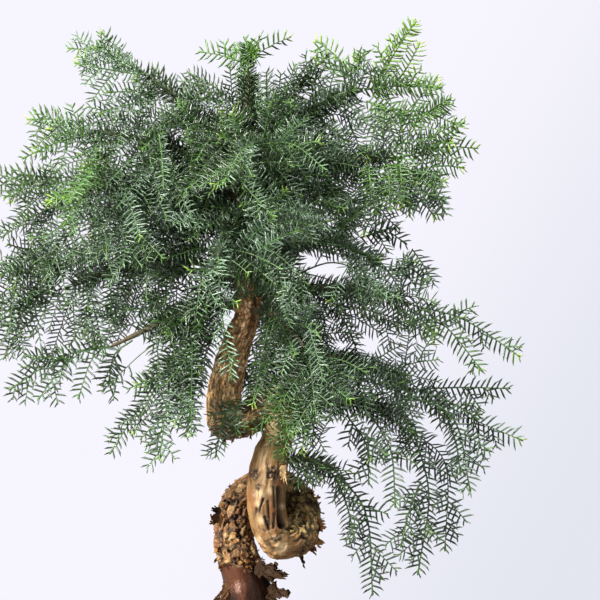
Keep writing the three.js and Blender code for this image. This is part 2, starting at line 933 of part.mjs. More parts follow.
function sideVector(t, rollDeg) {
  const flat = new THREE.Vector3(0, 1, 0).cross(t);
  if (flat.length() < 0.2) flat.set(1, 0, 0).addScaledVector(t, -t.x);
  flat.normalize();
  const deep = new THREE.Vector3().crossVectors(t, flat);
  return flat.multiplyScalar(Math.cos(rad(rollDeg))).addScaledVector(deep, Math.sin(rad(rollDeg)));
}

function shootStrand(parent, s, side, roll, length, droop) {
  const u = s / parent.length;
  const t = parent.tan(s);
  const start = parent.pos(s + NEEDLE_BAND / 2);
  const lean = rad(THREE.MathUtils.lerp(...SHOOT_LEAN_DEG, u));
  const d = t.clone().multiplyScalar(Math.cos(lean));
  d.addScaledVector(sideVector(t, roll), side * Math.sin(lean));
  const at = (v) => {
    const point = start.clone().addScaledVector(d, length * v);
    point.z -= droop * length * v * v;
    return point;
  };
  return new Strand([at(0), at(0.5), at(1)], 8);
}

function isClear(list, pad, own) {
  const clear = (a, b) => b.strand === own || gapBetween(a, b) > a.r + b.r + pad;
  return list.every((a) => stems.every((b) => clear(a, b)));
}

for (const spray of sprays) {
  const { row, index } = spray;
  spray.lines = [{ strand: spray.axis, side: row.side, roll: row.roll, radius: AXIS_RADIUS, children: [] }];
  stems.push(...segmentsOf(spray.axis, 1.2, index));
  for (const [from, mid, tip, side, roll] of row.forks ?? []) {
    const s = from + spray.lead;
    const strand = new Strand([spray.axis.pos(s + NEEDLE_BAND / 2), mid, tip]);
    const fork = { strand, side, roll, radius: SHOOT_RADIUS, children: [], fork: true };
    spray.lines[0].children.push({ s, line: fork });
    spray.lines.push(fork);
    stems.push(...segmentsOf(strand, 0.9, index, 3));
  }
}

for (const spray of sprays) {
  spray.lines.forEach((line, lineIndex) => {
    const { strand } = line;
    const key = spray.index * 7 + lineIndex + 1;
    const count = Math.floor(strand.length / SHOOT_STEP);
    for (let i = 0; i < count; i += 2) {
      const s = SHOOT_STEP * (i + (line.fork ? 1.2 : 0.7));
      const u = s / strand.length;
      if (s > strand.length - TIP_CLEAR) continue;
      if (line.children.some((c) => Math.abs(c.s - s) < FORK_CLEAR)) continue;
      const side = Math.floor((i + 1) / 2) % 2 ? -1 : 1;
      const full = line.side * (1 - SHOOT_TAPER * u ** 1.5) * (0.8 + 0.4 * noise(i + 1, key));
      for (const [turn, scale] of SHOOT_TURNS) {
        const length = full * scale;
        if (length < SHOOT_SHORTEST) break;
        const shoot = shootStrand(strand, s, side, line.roll + turn, length, spray.row.droop);
        const list = segmentsOf(shoot, 0.8, spray.index, 5);
        if (!isClear(list, SHOOT_GAP, strand)) continue;
        stems.push(...list);
        line.children.push({ s, line: { strand: shoot, radius: SHOOT_RADIUS, children: [] } });
        break;
      }
    }
  });
}

// Green body of a spray: a slim three-sided stem whose faces carry needles and side shoots
const needles = [];

function needleIsClear(a, host, owner) {
  for (const b of stems) {
    if (b.strand === host) continue;
    if (gapBetween(a, b) < a.r + b.r + CLEAR) return false;
  }
  for (const b of needles) {
    if (b.host === host && b.s === a.s) continue;
    if (gapBetween(a, b) < a.r + b.r + CLEAR) return false;
  }
  return true;
}

function growLine(body, line, startRing, key) {
  const { strand, radius } = line;
  const { vertices, faces } = body;
  const stations = line.children.map((c) => ({ s: c.s, child: c.line }));
  const last = strand.length - 5;
  if (startRing) {
    const first = line.fork ? 9 : SHOOT_FIRST_NEEDLES;
    if (!stations.length && last - first >= 9) {
      const parts = Math.ceil((last - first) / SHOOT_PITCH);
      for (let j = 0; j < parts; j++) stations.push({ s: first + (last - first) * j / parts });
    }
  }
  stations.push({ s: last, tip: true });
  stations.sort((a, b) => a.s - b.s);

  const radiusAt = (s) => radius[0] + (radius[1] - radius[0]) * s / strand.length;
  const middleOf = (corners) => {
    const sum = corners.reduce((m, v) => m.add(vertices[v]), new THREE.Vector3());
    return sum.multiplyScalar(1 / 3);
  };
  const ringFrom = (previous, s) => {
    const centre = strand.pos(s);
    const t = strand.tan(s);
    const towards = vertices[previous[0]].clone().add(vertices[previous[1]]).multiplyScalar(0.5);
    const m = towards.sub(middleOf(previous));
    m.addScaledVector(t, -m.dot(t)).normalize();
    const ring = [0, 1, 2].map((k) => {
      const d = m.clone().applyAxisAngle(t, rad(120 * k));
      return vertices.push(centre.clone().addScaledVector(d, radiusAt(s))) - 1;
    });
    return ring;
  };
  const bandFaces = (a, b) => {
    const list = [];
    for (let k = 0; k < 3; k++) {
      const n = (k + 1) % 3;
      list.push([a[k], a[n], b[k]], [a[n], b[n], b[k]]);
    }
    return list;
  };

  let ring = startRing;
  if (!ring) {
    const t = strand.tan(0);
    const m = sideVector(t, 20);
    ring = [0, 1, 2].map((k) => {
      const d = m.clone().applyAxisAngle(t, rad(120 * k));
      const v = strand.pos(0).addScaledVector(d, radius[0]);
      if (body.face) v.addScaledVector(t, -body.face.dot(v.clone().sub(strand.pos(0))) / body.face.dot(t));
      return vertices.push(v) - 1;
    });
    faces.push([ring[2], ring[1], ring[0]]);
  }

  stations.forEach((station, j) => {
    const low = ringFrom(ring, station.s);
    faces.push(...bandFaces(ring, low));
    const high = ringFrom(low, station.s + NEEDLE_BAND);
    const t = strand.tan(station.s + NEEDLE_BAND / 2);
    const centre = strand.pos(station.s + NEEDLE_BAND / 2);
    const open = bandFaces(low, high).map((face) => {
      const middle = middleOf(face);
      const out = middle.clone().sub(centre);
      out.addScaledVector(t, -out.dot(t)).normalize();
      return { face, middle, out };
    });
    if (station.child) {
      const s = Math.min(3, station.child.strand.length / 4);
      const d = station.child.strand.pos(s).sub(centre).normalize();
      let best = 0;
      open.forEach((o, k) => { if (o.out.dot(d) > open[best].out.dot(d)) best = k; });
      const chosen = open.splice(best, 1)[0];
      growLine(body, station.child, chosen.face, key + j + 1);
    }
    const spare = Math.floor(noise(j + 1, key + 3) * open.length);
    const plain = station.child ? 1 : 2;
    open.forEach((o, k) => {
      const isPlain = k === spare || (plain === 2 && k === (spare + 3) % open.length);
      const leanDeg = station.tip ? TIP_NEEDLE_LEAN_DEG : NEEDLE_LEAN_DEG;
      const lean = rad(leanDeg + 6 * (noise(k + 1, key + j) - 0.5));
      const size = (station.tip ? TIP_NEEDLE_LENGTH : NEEDLE_LENGTH) * (0.9 + 0.2 * noise(k + 2, key + j));
      const apex = o.middle.clone().addScaledVector(t, size * Math.cos(lean));
      apex.addScaledVector(o.out, size * Math.sin(lean));
      const needle = { p: o.middle, q: apex, r: 0.5, host: strand, s: station.s };
      if (isPlain || !needleIsClear(needle, strand, body.index)) {
        faces.push(o.face);
        return;
      }
      needles.push(needle);
      const tip = vertices.push(apex) - 1;
      const [a, b, c] = o.face;
      faces.push([a, b, tip], [b, c, tip], [c, a, tip]);
    });
    ring = high;
  });

  const end = strand.pos(strand.length).addScaledVector(strand.tan(strand.length), 1);
  const apex = vertices.push(end) - 1;
  for (let k = 0; k < 3; k++) faces.push([ring[k], ring[(k + 1) % 3], apex]);
}

// Materials
const material = (color, roughness) => new THREE.MeshStandardMaterial({ color, roughness, metalness: 0 });
const stoneware = material(0x4a3f3a, 0.7);
const compost = material(0x3b2f26, 0.95);
const bark = material(0x8a5a34, 0.6);
const leaf = material(0x3f7a45, 0.5);
const youngLeaf = material(0x4c8a3f, 0.5);
const netting = material(0x2b2d2b, 0.6);

// Assembly
const tree = new THREE.Group();

function addMesh(name, geometry, look) {
  const mesh = new THREE.Mesh(geometry, look);
  mesh.name = name;
  tree.add(mesh);
  return mesh;
}

// Tray with a lip, four feet and two drainage holes
function cylinder(radius, x, y, z0, z1, sides) {
  const geometry = new THREE.CylinderGeometry(radius, radius, z1 - z0, sides);
  geometry.rotateX(Math.PI / 2);
  geometry.translate(x, y, (z0 + z1) / 2);
  return solidOf(geometry);
}

let pot = solidOf(block(0, 0, POT_WALL));
for (const sx of [-1, 1]) {
  for (const sy of [-1, 1]) {
    pot = pot.add(solidOf(block(sx * FOOT_CENTRE[0], sy * FOOT_CENTRE[1], FOOT_RINGS, 1)));
  }
  pot = pot.subtract(cylinder(DRAIN_RADIUS, sx * DRAIN_X, 0, 8, 24, 16));
}
addMesh('pot', geometryFromSolid(pot), stoneware);

// Netting over each drainage hole
const floorZ = POT_WALL[POT_WALL.length - 1][0];
function cuboid(x, y, z, sizeX, sizeY, sizeZ) {
  return solidOf(new THREE.BoxGeometry(sizeX, sizeY, sizeZ).translate(x, y, z + sizeZ / 2));
}
function drainMesh(x) {
  let plate = cuboid(x, 0, floorZ + FIT_GAP, MESH_SIZE, MESH_SIZE, MESH_THICK);
  for (const cx of [-MESH_PITCH, 0, MESH_PITCH]) {
    for (const cy of [-MESH_PITCH, 0, MESH_PITCH]) {
      plate = plate.subtract(cuboid(x + cx, cy, floorZ - 1, MESH_HOLE, MESH_HOLE, 5));
    }
  }
  return geometryFromSolid(plate);
}
addMesh('drain_mesh_left', drainMesh(-DRAIN_X), netting);
addMesh('drain_mesh_right', drainMesh(DRAIN_X), netting);

// Soil, mounded towards the trunk, with a plain hole for the trunk's foot and its roots
const soilList = SOIL_RINGS.map((r, i) => roundedRing(i > 3 ? 6 : 0, i > 3 ? 3 : 0, r));
let soil = solidOf(skin(soilList, new THREE.Vector3(0, 0, SOIL_RINGS[0][0]), vec(SOIL_TOP)));
for (const x of [-DRAIN_X, DRAIN_X]) {
  const size = MESH_SIZE + 2 * FIT_GAP;
  soil = soil.subtract(cuboid(x, 0, floorZ - 5, size, size, 5 + MESH_THICK + 2 * FIT_GAP));
}
const footTube = woodTube(...line(COIL.slice(0, 4)), 12, 12.5, { relief: 0.05, grow: 0.5 });
soil = soil.subtract(solidOf(footTube.geometry));
for (const root of ROOTS) soil = soil.subtract(solidOf(rootTube(root, 0.5).geometry));
addMesh('soil', geometryFromSolid(soil), compost);

addMesh('trunk', trunkGeometry, bark);

for (const spray of sprays) {
  const body = { vertices: [], faces: [], index: spray.index, face: spray.face };
  growLine(body, spray.lines[0], null, spray.index * 11 + 1);
  addMesh(spray.row.name, geometryOf(body.vertices, body.faces), spray.index % 3 ? leaf : youngLeaf);
}

// The origin is under the middle of the whole object, on the surface it stands on
const box = new THREE.Box3().setFromObject(tree);
tree.position.set(-(box.min.x + box.max.x) / 2, -(box.min.y + box.max.y) / 2, -box.min.z);
const bonsai = new THREE.Group();
bonsai.add(tree);
bonsai.updateMatrixWorld(true);

export default bonsai;
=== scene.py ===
import math

import bmesh
import bpy
import numpy as np
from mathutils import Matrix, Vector
from mathutils.kdtree import KDTree


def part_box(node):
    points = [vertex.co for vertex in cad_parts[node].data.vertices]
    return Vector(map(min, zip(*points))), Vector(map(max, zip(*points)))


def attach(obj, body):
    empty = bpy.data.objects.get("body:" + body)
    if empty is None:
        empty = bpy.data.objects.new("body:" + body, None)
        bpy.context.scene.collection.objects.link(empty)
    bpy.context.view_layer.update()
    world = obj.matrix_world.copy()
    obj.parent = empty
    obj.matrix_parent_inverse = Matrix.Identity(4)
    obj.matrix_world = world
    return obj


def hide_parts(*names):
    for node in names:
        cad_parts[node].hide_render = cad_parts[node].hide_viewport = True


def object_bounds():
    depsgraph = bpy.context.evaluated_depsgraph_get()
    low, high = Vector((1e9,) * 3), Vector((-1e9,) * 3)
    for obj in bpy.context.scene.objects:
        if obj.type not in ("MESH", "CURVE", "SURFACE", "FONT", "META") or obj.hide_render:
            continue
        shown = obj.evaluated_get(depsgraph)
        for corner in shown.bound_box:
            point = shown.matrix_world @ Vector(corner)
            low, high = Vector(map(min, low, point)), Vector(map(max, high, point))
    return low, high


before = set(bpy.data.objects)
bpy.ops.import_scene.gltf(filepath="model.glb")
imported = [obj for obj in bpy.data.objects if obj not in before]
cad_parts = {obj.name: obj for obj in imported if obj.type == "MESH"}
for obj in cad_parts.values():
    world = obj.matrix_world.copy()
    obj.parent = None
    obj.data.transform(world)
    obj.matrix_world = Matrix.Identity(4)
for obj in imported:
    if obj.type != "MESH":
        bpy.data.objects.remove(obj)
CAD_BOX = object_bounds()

MM = 0.001
# Whole numbers that scatter the cells of the noise
HASH_PRIMES = (374761393, 668265263, 2147483647)
HASH_SEED_PRIME = 974634777
HASH_MIX_PRIME = 1274126177
POT_LOW, POT_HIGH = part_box("pot")
ORIGIN = np.array([(POT_LOW.x + POT_HIGH.x) / 2, (POT_LOW.y + POT_HIGH.y) / 2, 0.0])

# Camera: level, at the photograph's angle
VIEW_X = 38
VIEW_Z = 450
VIEW_DISTANCE = 3000
VIEW_WIDTH = 600
SENSOR_WIDTH = 36

# Foliage
GOLDEN_ANGLE = 2.39996
GOLDEN_TURN = 0.381966
FULL_TURN = 6.283
NEEDLE_LENGTH = 13.4
NEEDLE_RADIUS = 0.92
OPEN_LONGER = 1.08
OPEN_WIDER = 1.25
NEEDLE_LEAN_DEG = (68, 56)
PALE_FRONDS = 0.2
PALE_TONE = 0.36
TWINS = 0.72
BUD_RADIUS = (1.2, 0.8)
SIDE_SCALE = 1.22
NEEDLES_PER_MM = 0.48
OPEN_NEEDLES_PER_MM = 0.38
NEEDLE_LIFT_DEG = (6, 30, 14, -8, 40)
# A needle's seven points are a ring of three at its base, a ring of three past its middle, and its tip
NEEDLE_FACES = [(0, 1, 4), (0, 4, 3), (1, 2, 5), (1, 5, 4), (2, 0, 3), (2, 3, 5),
                (3, 4, 6), (4, 5, 6), (5, 3, 6)]
NEEDLE_ALONG = (0, 0, 0, 0.5, 0.5, 0.5, 1)
# The side from which the needles' upper faces are seen and lit
LIGHT_SIDE = (0.0, -0.5, 0.85)
# Painted highlight along the upper edge of a needle, painted shade on its under side
NEEDLE_EDGE_LIGHT_AND_SHADE = (0.12, -0.32, -0.32, 0.26, -0.28, -0.28, 0.08)
OPEN_TWINS = 0.3
FILL_SHOOT_STEP = 15
COMPANION_SIDE = 1.25
SHOOT_STEP = 15
TWIN_LONGER = 0.5
SHOOT_LEAN_DEG = (58, 44)
SHOOT_TAPER = 0.7
SHOOT_SHORTEST = 9
FORK_LEAD = 1.25
AXIS_RADIUS = (1.0, 0.65)
SHOOT_RADIUS = (0.7, 0.5)
SEAT_GAP = 0.35
SEAT_RADIUS = 1.9

# Bark
# Sides of a tube, and the step between its rings
THICK_TUBE = (24, 4)
CROWN_TUBE = (20, 6)
ROOT_TUBE = (12, 5)
FORK_TUBE = (10, 4)
LIMB_TUBE = (10, 6)
LOWER_VOXEL = 1.17
NECK_VOXEL = 1.3
UPPER_VOXEL = 1.9
SEAM_Z = 446
COPPER_TOP = 187
LOOSE_FLAKES = 240
SHEET_CRUMPLE = 0.6
FLAKE_CRUMPLE = 0.12
# A place of painted shade on the bend's inner side, and a hollow carved in the front stem: centre and reach
BEND_PAINTED_SHADE = ((-15, -20, 349), 17)
NECK_HOLLOW = ((-3, -22, 322), 24)
# Middle of the swirl of grain, X and Z
SWIRL_CENTRE = (24, 230)

# Foliage that fills the crown between the frame's sprays
FILL_START = 0.2
FILL_STEP = 26
FILL_LENGTH = 76
FILL_SIDE = 46
FILL_DROOP = 0.2
COVER_AT = (0.12, 0.48)
COVER_LENGTH = 82
COAT_START = 0.15
COAT_DENSITY = 1.6
TWIGS = 32
TWIG_START = 0.34
LEADER = [(-14, -2, 652), (-14, -2, 680), (-16, -3, 706)]
LEADER_RADIUS = (4.4, 1.8)
LEADER_NEEDLES = 0.62
# Further fronds of a spray: share of its axis, yaw, pitch and share of its length
COMPANIONS = [(0.08, 30, 20, 0.8), (0.28, -28, -22, 0.8)]
# Sprays and limbs where the foliage is thin
OPEN_SPRAYS = {
    "cascade", "cascade_inner", "low_right", "low_right_top", "right_low", "right_low_hanging",
    "right_long", "right_high", "right_high_low", "right_mid", "right_mid_top", "upper_right",
    "upper_right_top", "crown", "low_left_long", "low_left_mid", "low_left_inner", "left_drop",
    "left_drop_inner", "left_low", "left_mid", "upper_left_slope", "left_high", "front_hanging",
}
OPEN_COMPANIONS = [(0.25, -26, 20, 0.6)]
# Sprays without further fronds
BARE_SPRAYS = {
    "cascade", "cascade_inner", "low_right", "right_low_hanging", "right_low", "upper_right",
    "upper_right_top", "crown", "bend_hanging", "stem_hanging", "front_hanging", "right_long",
    "upper_left_long",
}
OPEN_LIMBS = {
    "cascade", "low_right", "right_low", "right_long", "right_high", "upper_left", "upper_right",
    "left_drop",
}
OPEN_FILL_STEP = 52
UNCOVERED_LIMBS = {"low_right", "upper_left"}
NEEDLE_MARGIN = 3.5
# Inner needles are darker: painted shade deep in the foliage
INNER_X = -15
INNER_REACH = (40, 150)
INNER_SHADE = 0.42
# The needles at the left are darker: painted shade
LEFT_SIDE = (-200, -40)
LEFT_SHADE = 0.1
# Fronds that lie deep in the foliage are darker too: painted shade
FILL_SHADE = -0.15
# Broad places of painted shade in the foliage, and of painted light below 0, seen from the front: X, Z, reach
# and depth
PAINTED_SHADE_AND_LIGHT = [
    (-250, 575, 75, 0.32), (-245, 500, 60, 0.25), (-42, 588, 40, 0.45), (18, 515, 62, -0.32),
    (58, 568, 46, -0.32), (20, 648, 56, -0.3), (98, 470, 66, -0.34), (-82, 530, 36, -0.4),
    (118, 362, 60, -0.36), (-2, 410, 36, 0.3), (190, 350, 66, 0.28), (-130, 330, 48, 0.3),
    (125, 220, 76, 0.36), (182, 580, 40, 0.28), (155, 700, 46, 0.26), (-220, 370, 50, 0.2),
    (165, 640, 34, 0.16),
]
# How much lighter a spray is with painted light, or darker below 0 with painted shade: the lower right ones
# are in the crown's shade, and the fronds that hang before the trunk are lit
SPRAY_LIGHT_AND_SHADE = {
    "cascade": -0.2, "cascade_inner": -0.2, "low_right": -0.2, "low_right_top": -0.2, "right_low": -0.08,
    "right_low_hanging": -0.14, "low_left_long": -0.05, "low_left_mid": -0.05, "left_drop": -0.06,
    "left_drop_inner": -0.1, "bend_hanging": 0.2, "stem_hanging": 0.12, "front_hanging": 0.1,
}
# Gaps in the foliage that show the air, seen from the front: X, Z and reach
GAPS = [
    (-85, 714, 24), (-46, 678, 9), (-52, 716, 14), (-104, 694, 19), (-76, 688, 16), (-36, 664, 15),
    (-132, 706, 10), (-160, 660, 14), (-252, 534, 14), (190, 560, 9), (188, 632, 8), (196, 372, 10),
    (178, 378, 8), (-112, 340, 9), (-205, 642, 11), (52, 484, 17), (72, 480, 15), (118, 522, 22),
    (-62, 482, 14), (-167, 460, 13), (-124, 400, 20), (-150, 384, 12), (-178, 360, 17), (-163, 392, 8),
    (70, 431, 8), (80, 402, 9), (115, 411, 9), (88, 314, 16), (138, 282, 9), (72, 226, 17), (64, 262, 9),
    (48, 246, 14), (-250, 640, 26), (-254, 506, 10), (-232, 420, 9), (230, 520, 30), (190, 310, 9),
    (164, 517, 10), (146, 690, 6), (163, 646, 6), (182, 630, 6), (-94, 664, 8), (108, 303, 9), (20, 702, 9),
    (-136, 640, 7), (-215, 592, 8), (164, 440, 8), (128, 258, 8),
]
# Gaps that a stem may cross, but no needle
CLEARED = [
    (70, 481, 14), (54, 484, 12), (-126, 402, 17), (-60, 484, 11), (-102, 696, 13), (76, 402, 6),
    (72, 431, 6),
]
# Further fronds: the spray that they join, axis, side shoots and roll
EXTRA = [
    ("front_low", [(-22, 8, 410), (5, 14, 398), (32, 10, 372)], 24, 20),
    ("front_low", [(-16, 6, 436), (14, 18, 425), (45, 16, 398)], 26, 10),
    ("front_low", [(-24, 16, 394), (-14, 22, 368), (-8, 20, 338)], 24, 20),
    ("front_low", [(12, 22, 386), (2, 26, 362), (-16, 20, 344)], 24, 10),
    ("front_low", [(14, -30, 376), (6, -50, 352), (0, -56, 322)], 16, 15),
    ("front_low", [(-26, 10, 392), (-6, 20, 378), (14, 18, 358)], 22, 30),
    ("right_low", [(40, -8, 386), (52, -46, 352), (50, -50, 306)], 24, 20),
    ("right_low", [(64, -12, 394), (76, -36, 362), (78, -40, 332)], 20, 10),
    ("right_low", [(36, -8, 380), (20, -40, 372), (8, -46, 352)], 20, 20),
    ("right_low", [(84, -12, 390), (100, -34, 364), (104, -40, 336)], 20, 20),
    ("right_low_hanging", [(182, -36, 338), (192, -42, 308), (196, -44, 278)], 0, 10),
    ("low_right", [(28, -38, 292), (40, -50, 283), (52, -56, 268)], 16, 15),
    ("low_right", [(34, -30, 294), (48, -40, 284), (58, -46, 272)], 16, 25),
    ("low_right", [(46, -26, 292), (64, -32, 284), (84, -34, 262)], 14, 15),
    ("low_right", [(72, -20, 276), (84, -26, 248), (92, -28, 214)], 14, 10),
    ("upper_left_long", [(-118, -20, 674), (-150, -30, 678), (-184, -36, 684)], 22, 15),
    ("upper_left_long", [(-118, -4, 674), (-146, 4, 690), (-170, 8, 706)], 10, 30),
    ("upper_left_long", [(-140, -16, 686), (-154, -26, 698), (-160, -30, 714)], 10, 40),
    ("upper_left_low", [(-104, -30, 648), (-134, -46, 642), (-160, -54, 632)], 24, 15),
    ("left_high", [(-170, -50, 612), (-196, -62, 606), (-222, -66, 594)], 22, 20),
    ("left_mid_low", [(-168, -56, 546), (-192, -66, 526), (-214, -70, 508)], 24, 20),
    ("left_low", [(-224, -10, 436), (-244, -20, 414), (-256, -24, 392)], 20, 20),
    ("top_right", [(30, 4, 660), (50, -6, 678), (66, -12, 694)], 20, 30),
    ("upper_right", [(112, -6, 662), (132, -14, 696), (153, -16, 727)], 0, 10),
    ("upper_right", [(132, -4, 664), (146, -10, 684), (157, -10, 706)], 0, 10),
    ("upper_right_low", [(150, -20, 624), (170, -26, 640), (187, -28, 650)], 0, 10),
    ("upper_right_low", [(180, -20, 612), (192, -24, 620), (201, -24, 627)], 0, 10),
    ("right_high", [(156, -22, 580), (180, -28, 583), (200, -28, 581)], 0, 15),
    ("right_high", [(150, -24, 584), (166, -32, 566), (180, -34, 546)], 12, 15),
    ("right_high", [(106, -34, 584), (108, -46, 558), (113, -50, 534)], 0, 15),
    ("right_high", [(125, -36, 584), (126, -50, 560), (127, -56, 538)], 0, 5),
    ("right_high", [(137, -36, 584), (138, -48, 562), (138, -52, 542)], 0, 10),
    ("upper_right_low", [(112, -14, 660), (146, -24, 664), (178, -26, 661)], 0, 10),
    ("left_mid", [(-224, -56, 572), (-228, -64, 550), (-228, -66, 530)], 0, 10),
    ("left_mid", [(-206, -56, 568), (-208, -64, 555), (-208, -66, 542)], 0, 10),
    ("left_low_upper", [(-172, -10, 484), (-173, -20, 462), (-172, -22, 440)], 0, 5),
    ("left_low_upper", [(-150, -10, 480), (-150, -20, 460), (-149, -22, 438)], 0, 5),
    ("left_mid_inner", [(-100, -64, 612), (-96, -84, 588), (-94, -92, 558)], 0, 20),
    ("front_high", [(-30, -118, 582), (-12, -142, 556), (14, -150, 528)], 14, 30),
    ("right_high_low", [(138, -34, 566), (158, -42, 548), (172, -44, 530)], 20, 15),
    ("right_long", [(126, -18, 450), (150, -34, 432), (172, -38, 416)], 20, 20),
    ("right_low", [(172, -20, 356), (196, -30, 344), (214, -34, 332)], 16, 15),
    ("cascade", [(158, -20, 270), (146, -26, 240), (138, -28, 206)], 20, 15),
    ("low_left_long", [(-92, -52, 384), (-110, -66, 352), (-124, -70, 320)], 20, 15),
    ("stem_hanging", [(38, -42, 376), (34, -58, 342), (22, -62, 300)], 18, 15),
    ("stem_hanging", [(34, -38, 352), (42, -56, 328), (40, -62, 300)], 16, 25),
    ("stem_hanging", [(32, -48, 366), (16, -60, 346), (4, -62, 330)], 15, 20),
    ("bend_hanging", [(-20, -32, 352), (-26, -48, 336), (-24, -54, 318)], 14, 20),
]
# Stretches of trunk left open to the front: from and to in X and Z, and the width to each side
BARE = [
    ((-38, 322), (-37, 366), 22), ((-37, 366), (-24, 412), 17), ((-24, 412), (-12, 440), 10),
    ((6, 196), (4, 290), 22), ((0, 285), (4, 326), 10), ((36, 262), (50, 228), 24),
]
# Sprays that may hang in front of the trunk
OVER_TRUNK = {"front_hanging", "bend_hanging", "stem_hanging", "low_right_top"}

# How young and yellow-green a spray is, from 0 to 1
FRESH_PLAIN = 0.06
FRESH = {
    "upper_right": 0.5, "upper_right_top": 0.4, "upper_right_low": 0.4, "right_high": 0.35, "crown": 0.34,
    "left_high": 0.2, "left_mid": 0.15, "left_mid_front": 0.36, "upper_left_long": 0.12,
    "left_high_hanging": 0.2, "right_long": 0.2, "cascade": 0.04, "low_right": 0.04, "right_low": 0.05,
    "low_left_mid": 0.05, "right_low_hanging": 0.04, "front_high": 0.1, "front_mid": 0.08,
    "bend_hanging": 0.1, "stem_hanging": 0.25,
}

# Colours, linear
NEEDLE_DARK = (0.005, 0.018, 0.004)
NEEDLE_BLOOM = (0.2, 0.3, 0.21)
NEEDLE_YOUNG = (0.12, 0.29, 0.02)
NEEDLE_TIP = (0.2, 0.26, 0.09)
NEEDLE_BUD = (0.33, 0.42, 0.035)
STEM_OLD = (0.034, 0.092, 0.02)
STEM_YOUNG = (0.1, 0.22, 0.026)
STEM_BROWN = (0.2, 0.13, 0.05)
BARK_BROWN = (0.13, 0.055, 0.018)
BARK_OCHRE = (0.3, 0.15, 0.045)
BARK_PALE = (0.5, 0.3, 0.12)
BARK_RUST = (0.2, 0.05, 0.013)
BALL_DARK = (0.115, 0.076, 0.024)
BALL_OCHRE = (0.48, 0.34, 0.115)
WOOD_DARK = (0.08, 0.036, 0.011)
WOOD_GOLD = (0.27, 0.15, 0.052)
WOOD_PALE = (0.6, 0.4, 0.2)
WOOD_ORANGE = (0.25, 0.1, 0.027)
WOOD_OLIVE = (0.3, 0.19, 0.06)
WOOD_PEELED = (0.3, 0.09, 0.02)
# Cream of the painted highlights on the smooth wood
PAINTED_HIGHLIGHT_CREAM = (0.8, 0.58, 0.33)
TOP_GREEN = (0.035, 0.06, 0.02)
KNOT_DARK = (0.12, 0.065, 0.025)
KNOT_PALE = (0.4, 0.26, 0.12)
SCALE_DARK = (0.3, 0.13, 0.04)
SCALE_TAN = (0.82, 0.5, 0.2)
SCALE_PALE = (0.95, 0.75, 0.44)
SCALE_RED = (0.5, 0.22, 0.08)
COPPER = (0.095, 0.031, 0.011)
# Dark copper, also used for the painted shade on the copper's right side
COPPER_DARK = (0.02, 0.007, 0.004)
LIMB_BROWN = (0.11, 0.085, 0.035)
LIMB_DARK = (0.03, 0.03, 0.012)
# Dark of the seams and crevices, and of the painted shade
DARK_SEAM_AND_SHADE = (0.018, 0.01, 0.005)
FLAKE_DARK = (0.04, 0.02, 0.009)
SHEET_BROWN = (0.085, 0.038, 0.014)
CLAY_DARK = (0.075, 0.052, 0.042)
CLAY_LIGHT = (0.14, 0.1, 0.08)
CLAY_SPECK = (0.03, 0.02, 0.016)
CLAY_WORN = (0.24, 0.17, 0.13)
SOIL_DARK = (0.03, 0.02, 0.013)
SOIL_LIGHT = (0.1, 0.07, 0.045)
SOIL_WET = (0.02, 0.014, 0.01)
GRANULE_CLAY = (0.17, 0.1, 0.055)
GRANULE_PUMICE = (0.42, 0.38, 0.31)
GRANULE_LAVA = (0.035, 0.025, 0.025)
MOSS_DARK = (0.022, 0.045, 0.008)
MOSS_LIGHT = (0.1, 0.165, 0.026)
MOSS_DRY = (0.15, 0.13, 0.04)
NETTING_DARK = (0.02, 0.022, 0.02)
NETTING_LIGHT = (0.045, 0.05, 0.045)
# How much a difference in depth counts beside one across or up, for marks on the bark
DEPTH_SHARE = 0.35
FLOOR = (0.45, 0.45, 0.48)
COPPER_SHEEN = 0.36
AIR_LEFT = (0.93, 0.915, 1.0)
AIR_RIGHT = (0.775, 0.79, 0.87)
AIR_LIGHT = (0.95, 0.96, 0.93)
AIR_STRENGTH = 0.03
AIR_STOPS = (0.5, 0.64)

# Floor, in metres
FLOOR_Z = -0.0005
FLOOR_REACH = 1.4
FLOOR_SIDES = 96

# Lights: place in metres, size, power and colour, and the height that they aim at
LIGHT_AIM_Z = 0.42
LIGHTS = [
    ("key", (-2.4, -1.6, 1.7), 0.5, 325, (1.0, 0.97, 0.93)),
    ("fill", (0.9, -2.4, 1.2), 1.0, 5, (1.0, 0.98, 0.95)),
    ("top", (0.6, -0.5, 2.1), 0.8, 70, (1.0, 1.0, 1.0)),
]

# Marks on the bark of the lower trunk: grooves from start to end with width, depth and darkness, the darkness
# painted shade in the groove
GROOVES = [
    ((18, -40, 264), (19.5, -40, 228), 4.2, 7.0, 1.2),
    ((19, -40, 234), (21, -38, 227), 4.5, 4.0, 1.0),
    ((1.7, -46, 254), (-3.7, -46, 240), 1.8, 3.2, 1.4),
    ((-6, -45, 244), (-9, -43, 231), 2.4, 3.2, 1.4),
    ((-9, -43, 230), (-11, -40, 222), 3.2, 3.2, 1.2),
    ((-9, -43, 226), (4, -46, 222), 1.7, 2.2, 1.1),
    ((6.5, -47, 252), (8, -47, 228), 1.9, 2.6, 1.0),
    ((3, -47, 236), (7, -47, 224), 2.8, 2.8, 1.1),
    ((12, -44, 266), (13, -44, 246), 1.5, 2.0, 0.9),
    ((13, -44, 240), (12, -44, 226), 1.6, 2.4, 0.9),
    ((4, -44, 300), (3, -44, 294), 1.3, 1.0, 0.7),
    ((10, -42, 312), (9, -42, 306), 1.2, 0.8, 0.6),
]
# Knots: centre, radius and lift
KNOTS = [
    ((-8, -43, 278), 9, 2.8), ((11, -43, 279), 11, 3.0), ((-3.7, -46, 266), 5.5, 1.5),
    ((12.4, -46, 214), 6, 1.2), ((17, -46, 216), 5, 1.0), ((-8, -42, 207), 3.5, 0.8),
    ((-22, 2, 272), 7, 2.5), ((-34, -6, 262), 6, 2.5),
]
# Granular crust: centre and reach
CRUSTS = [((-30, -12, 212), 12), ((40, -22, 222), 7)]
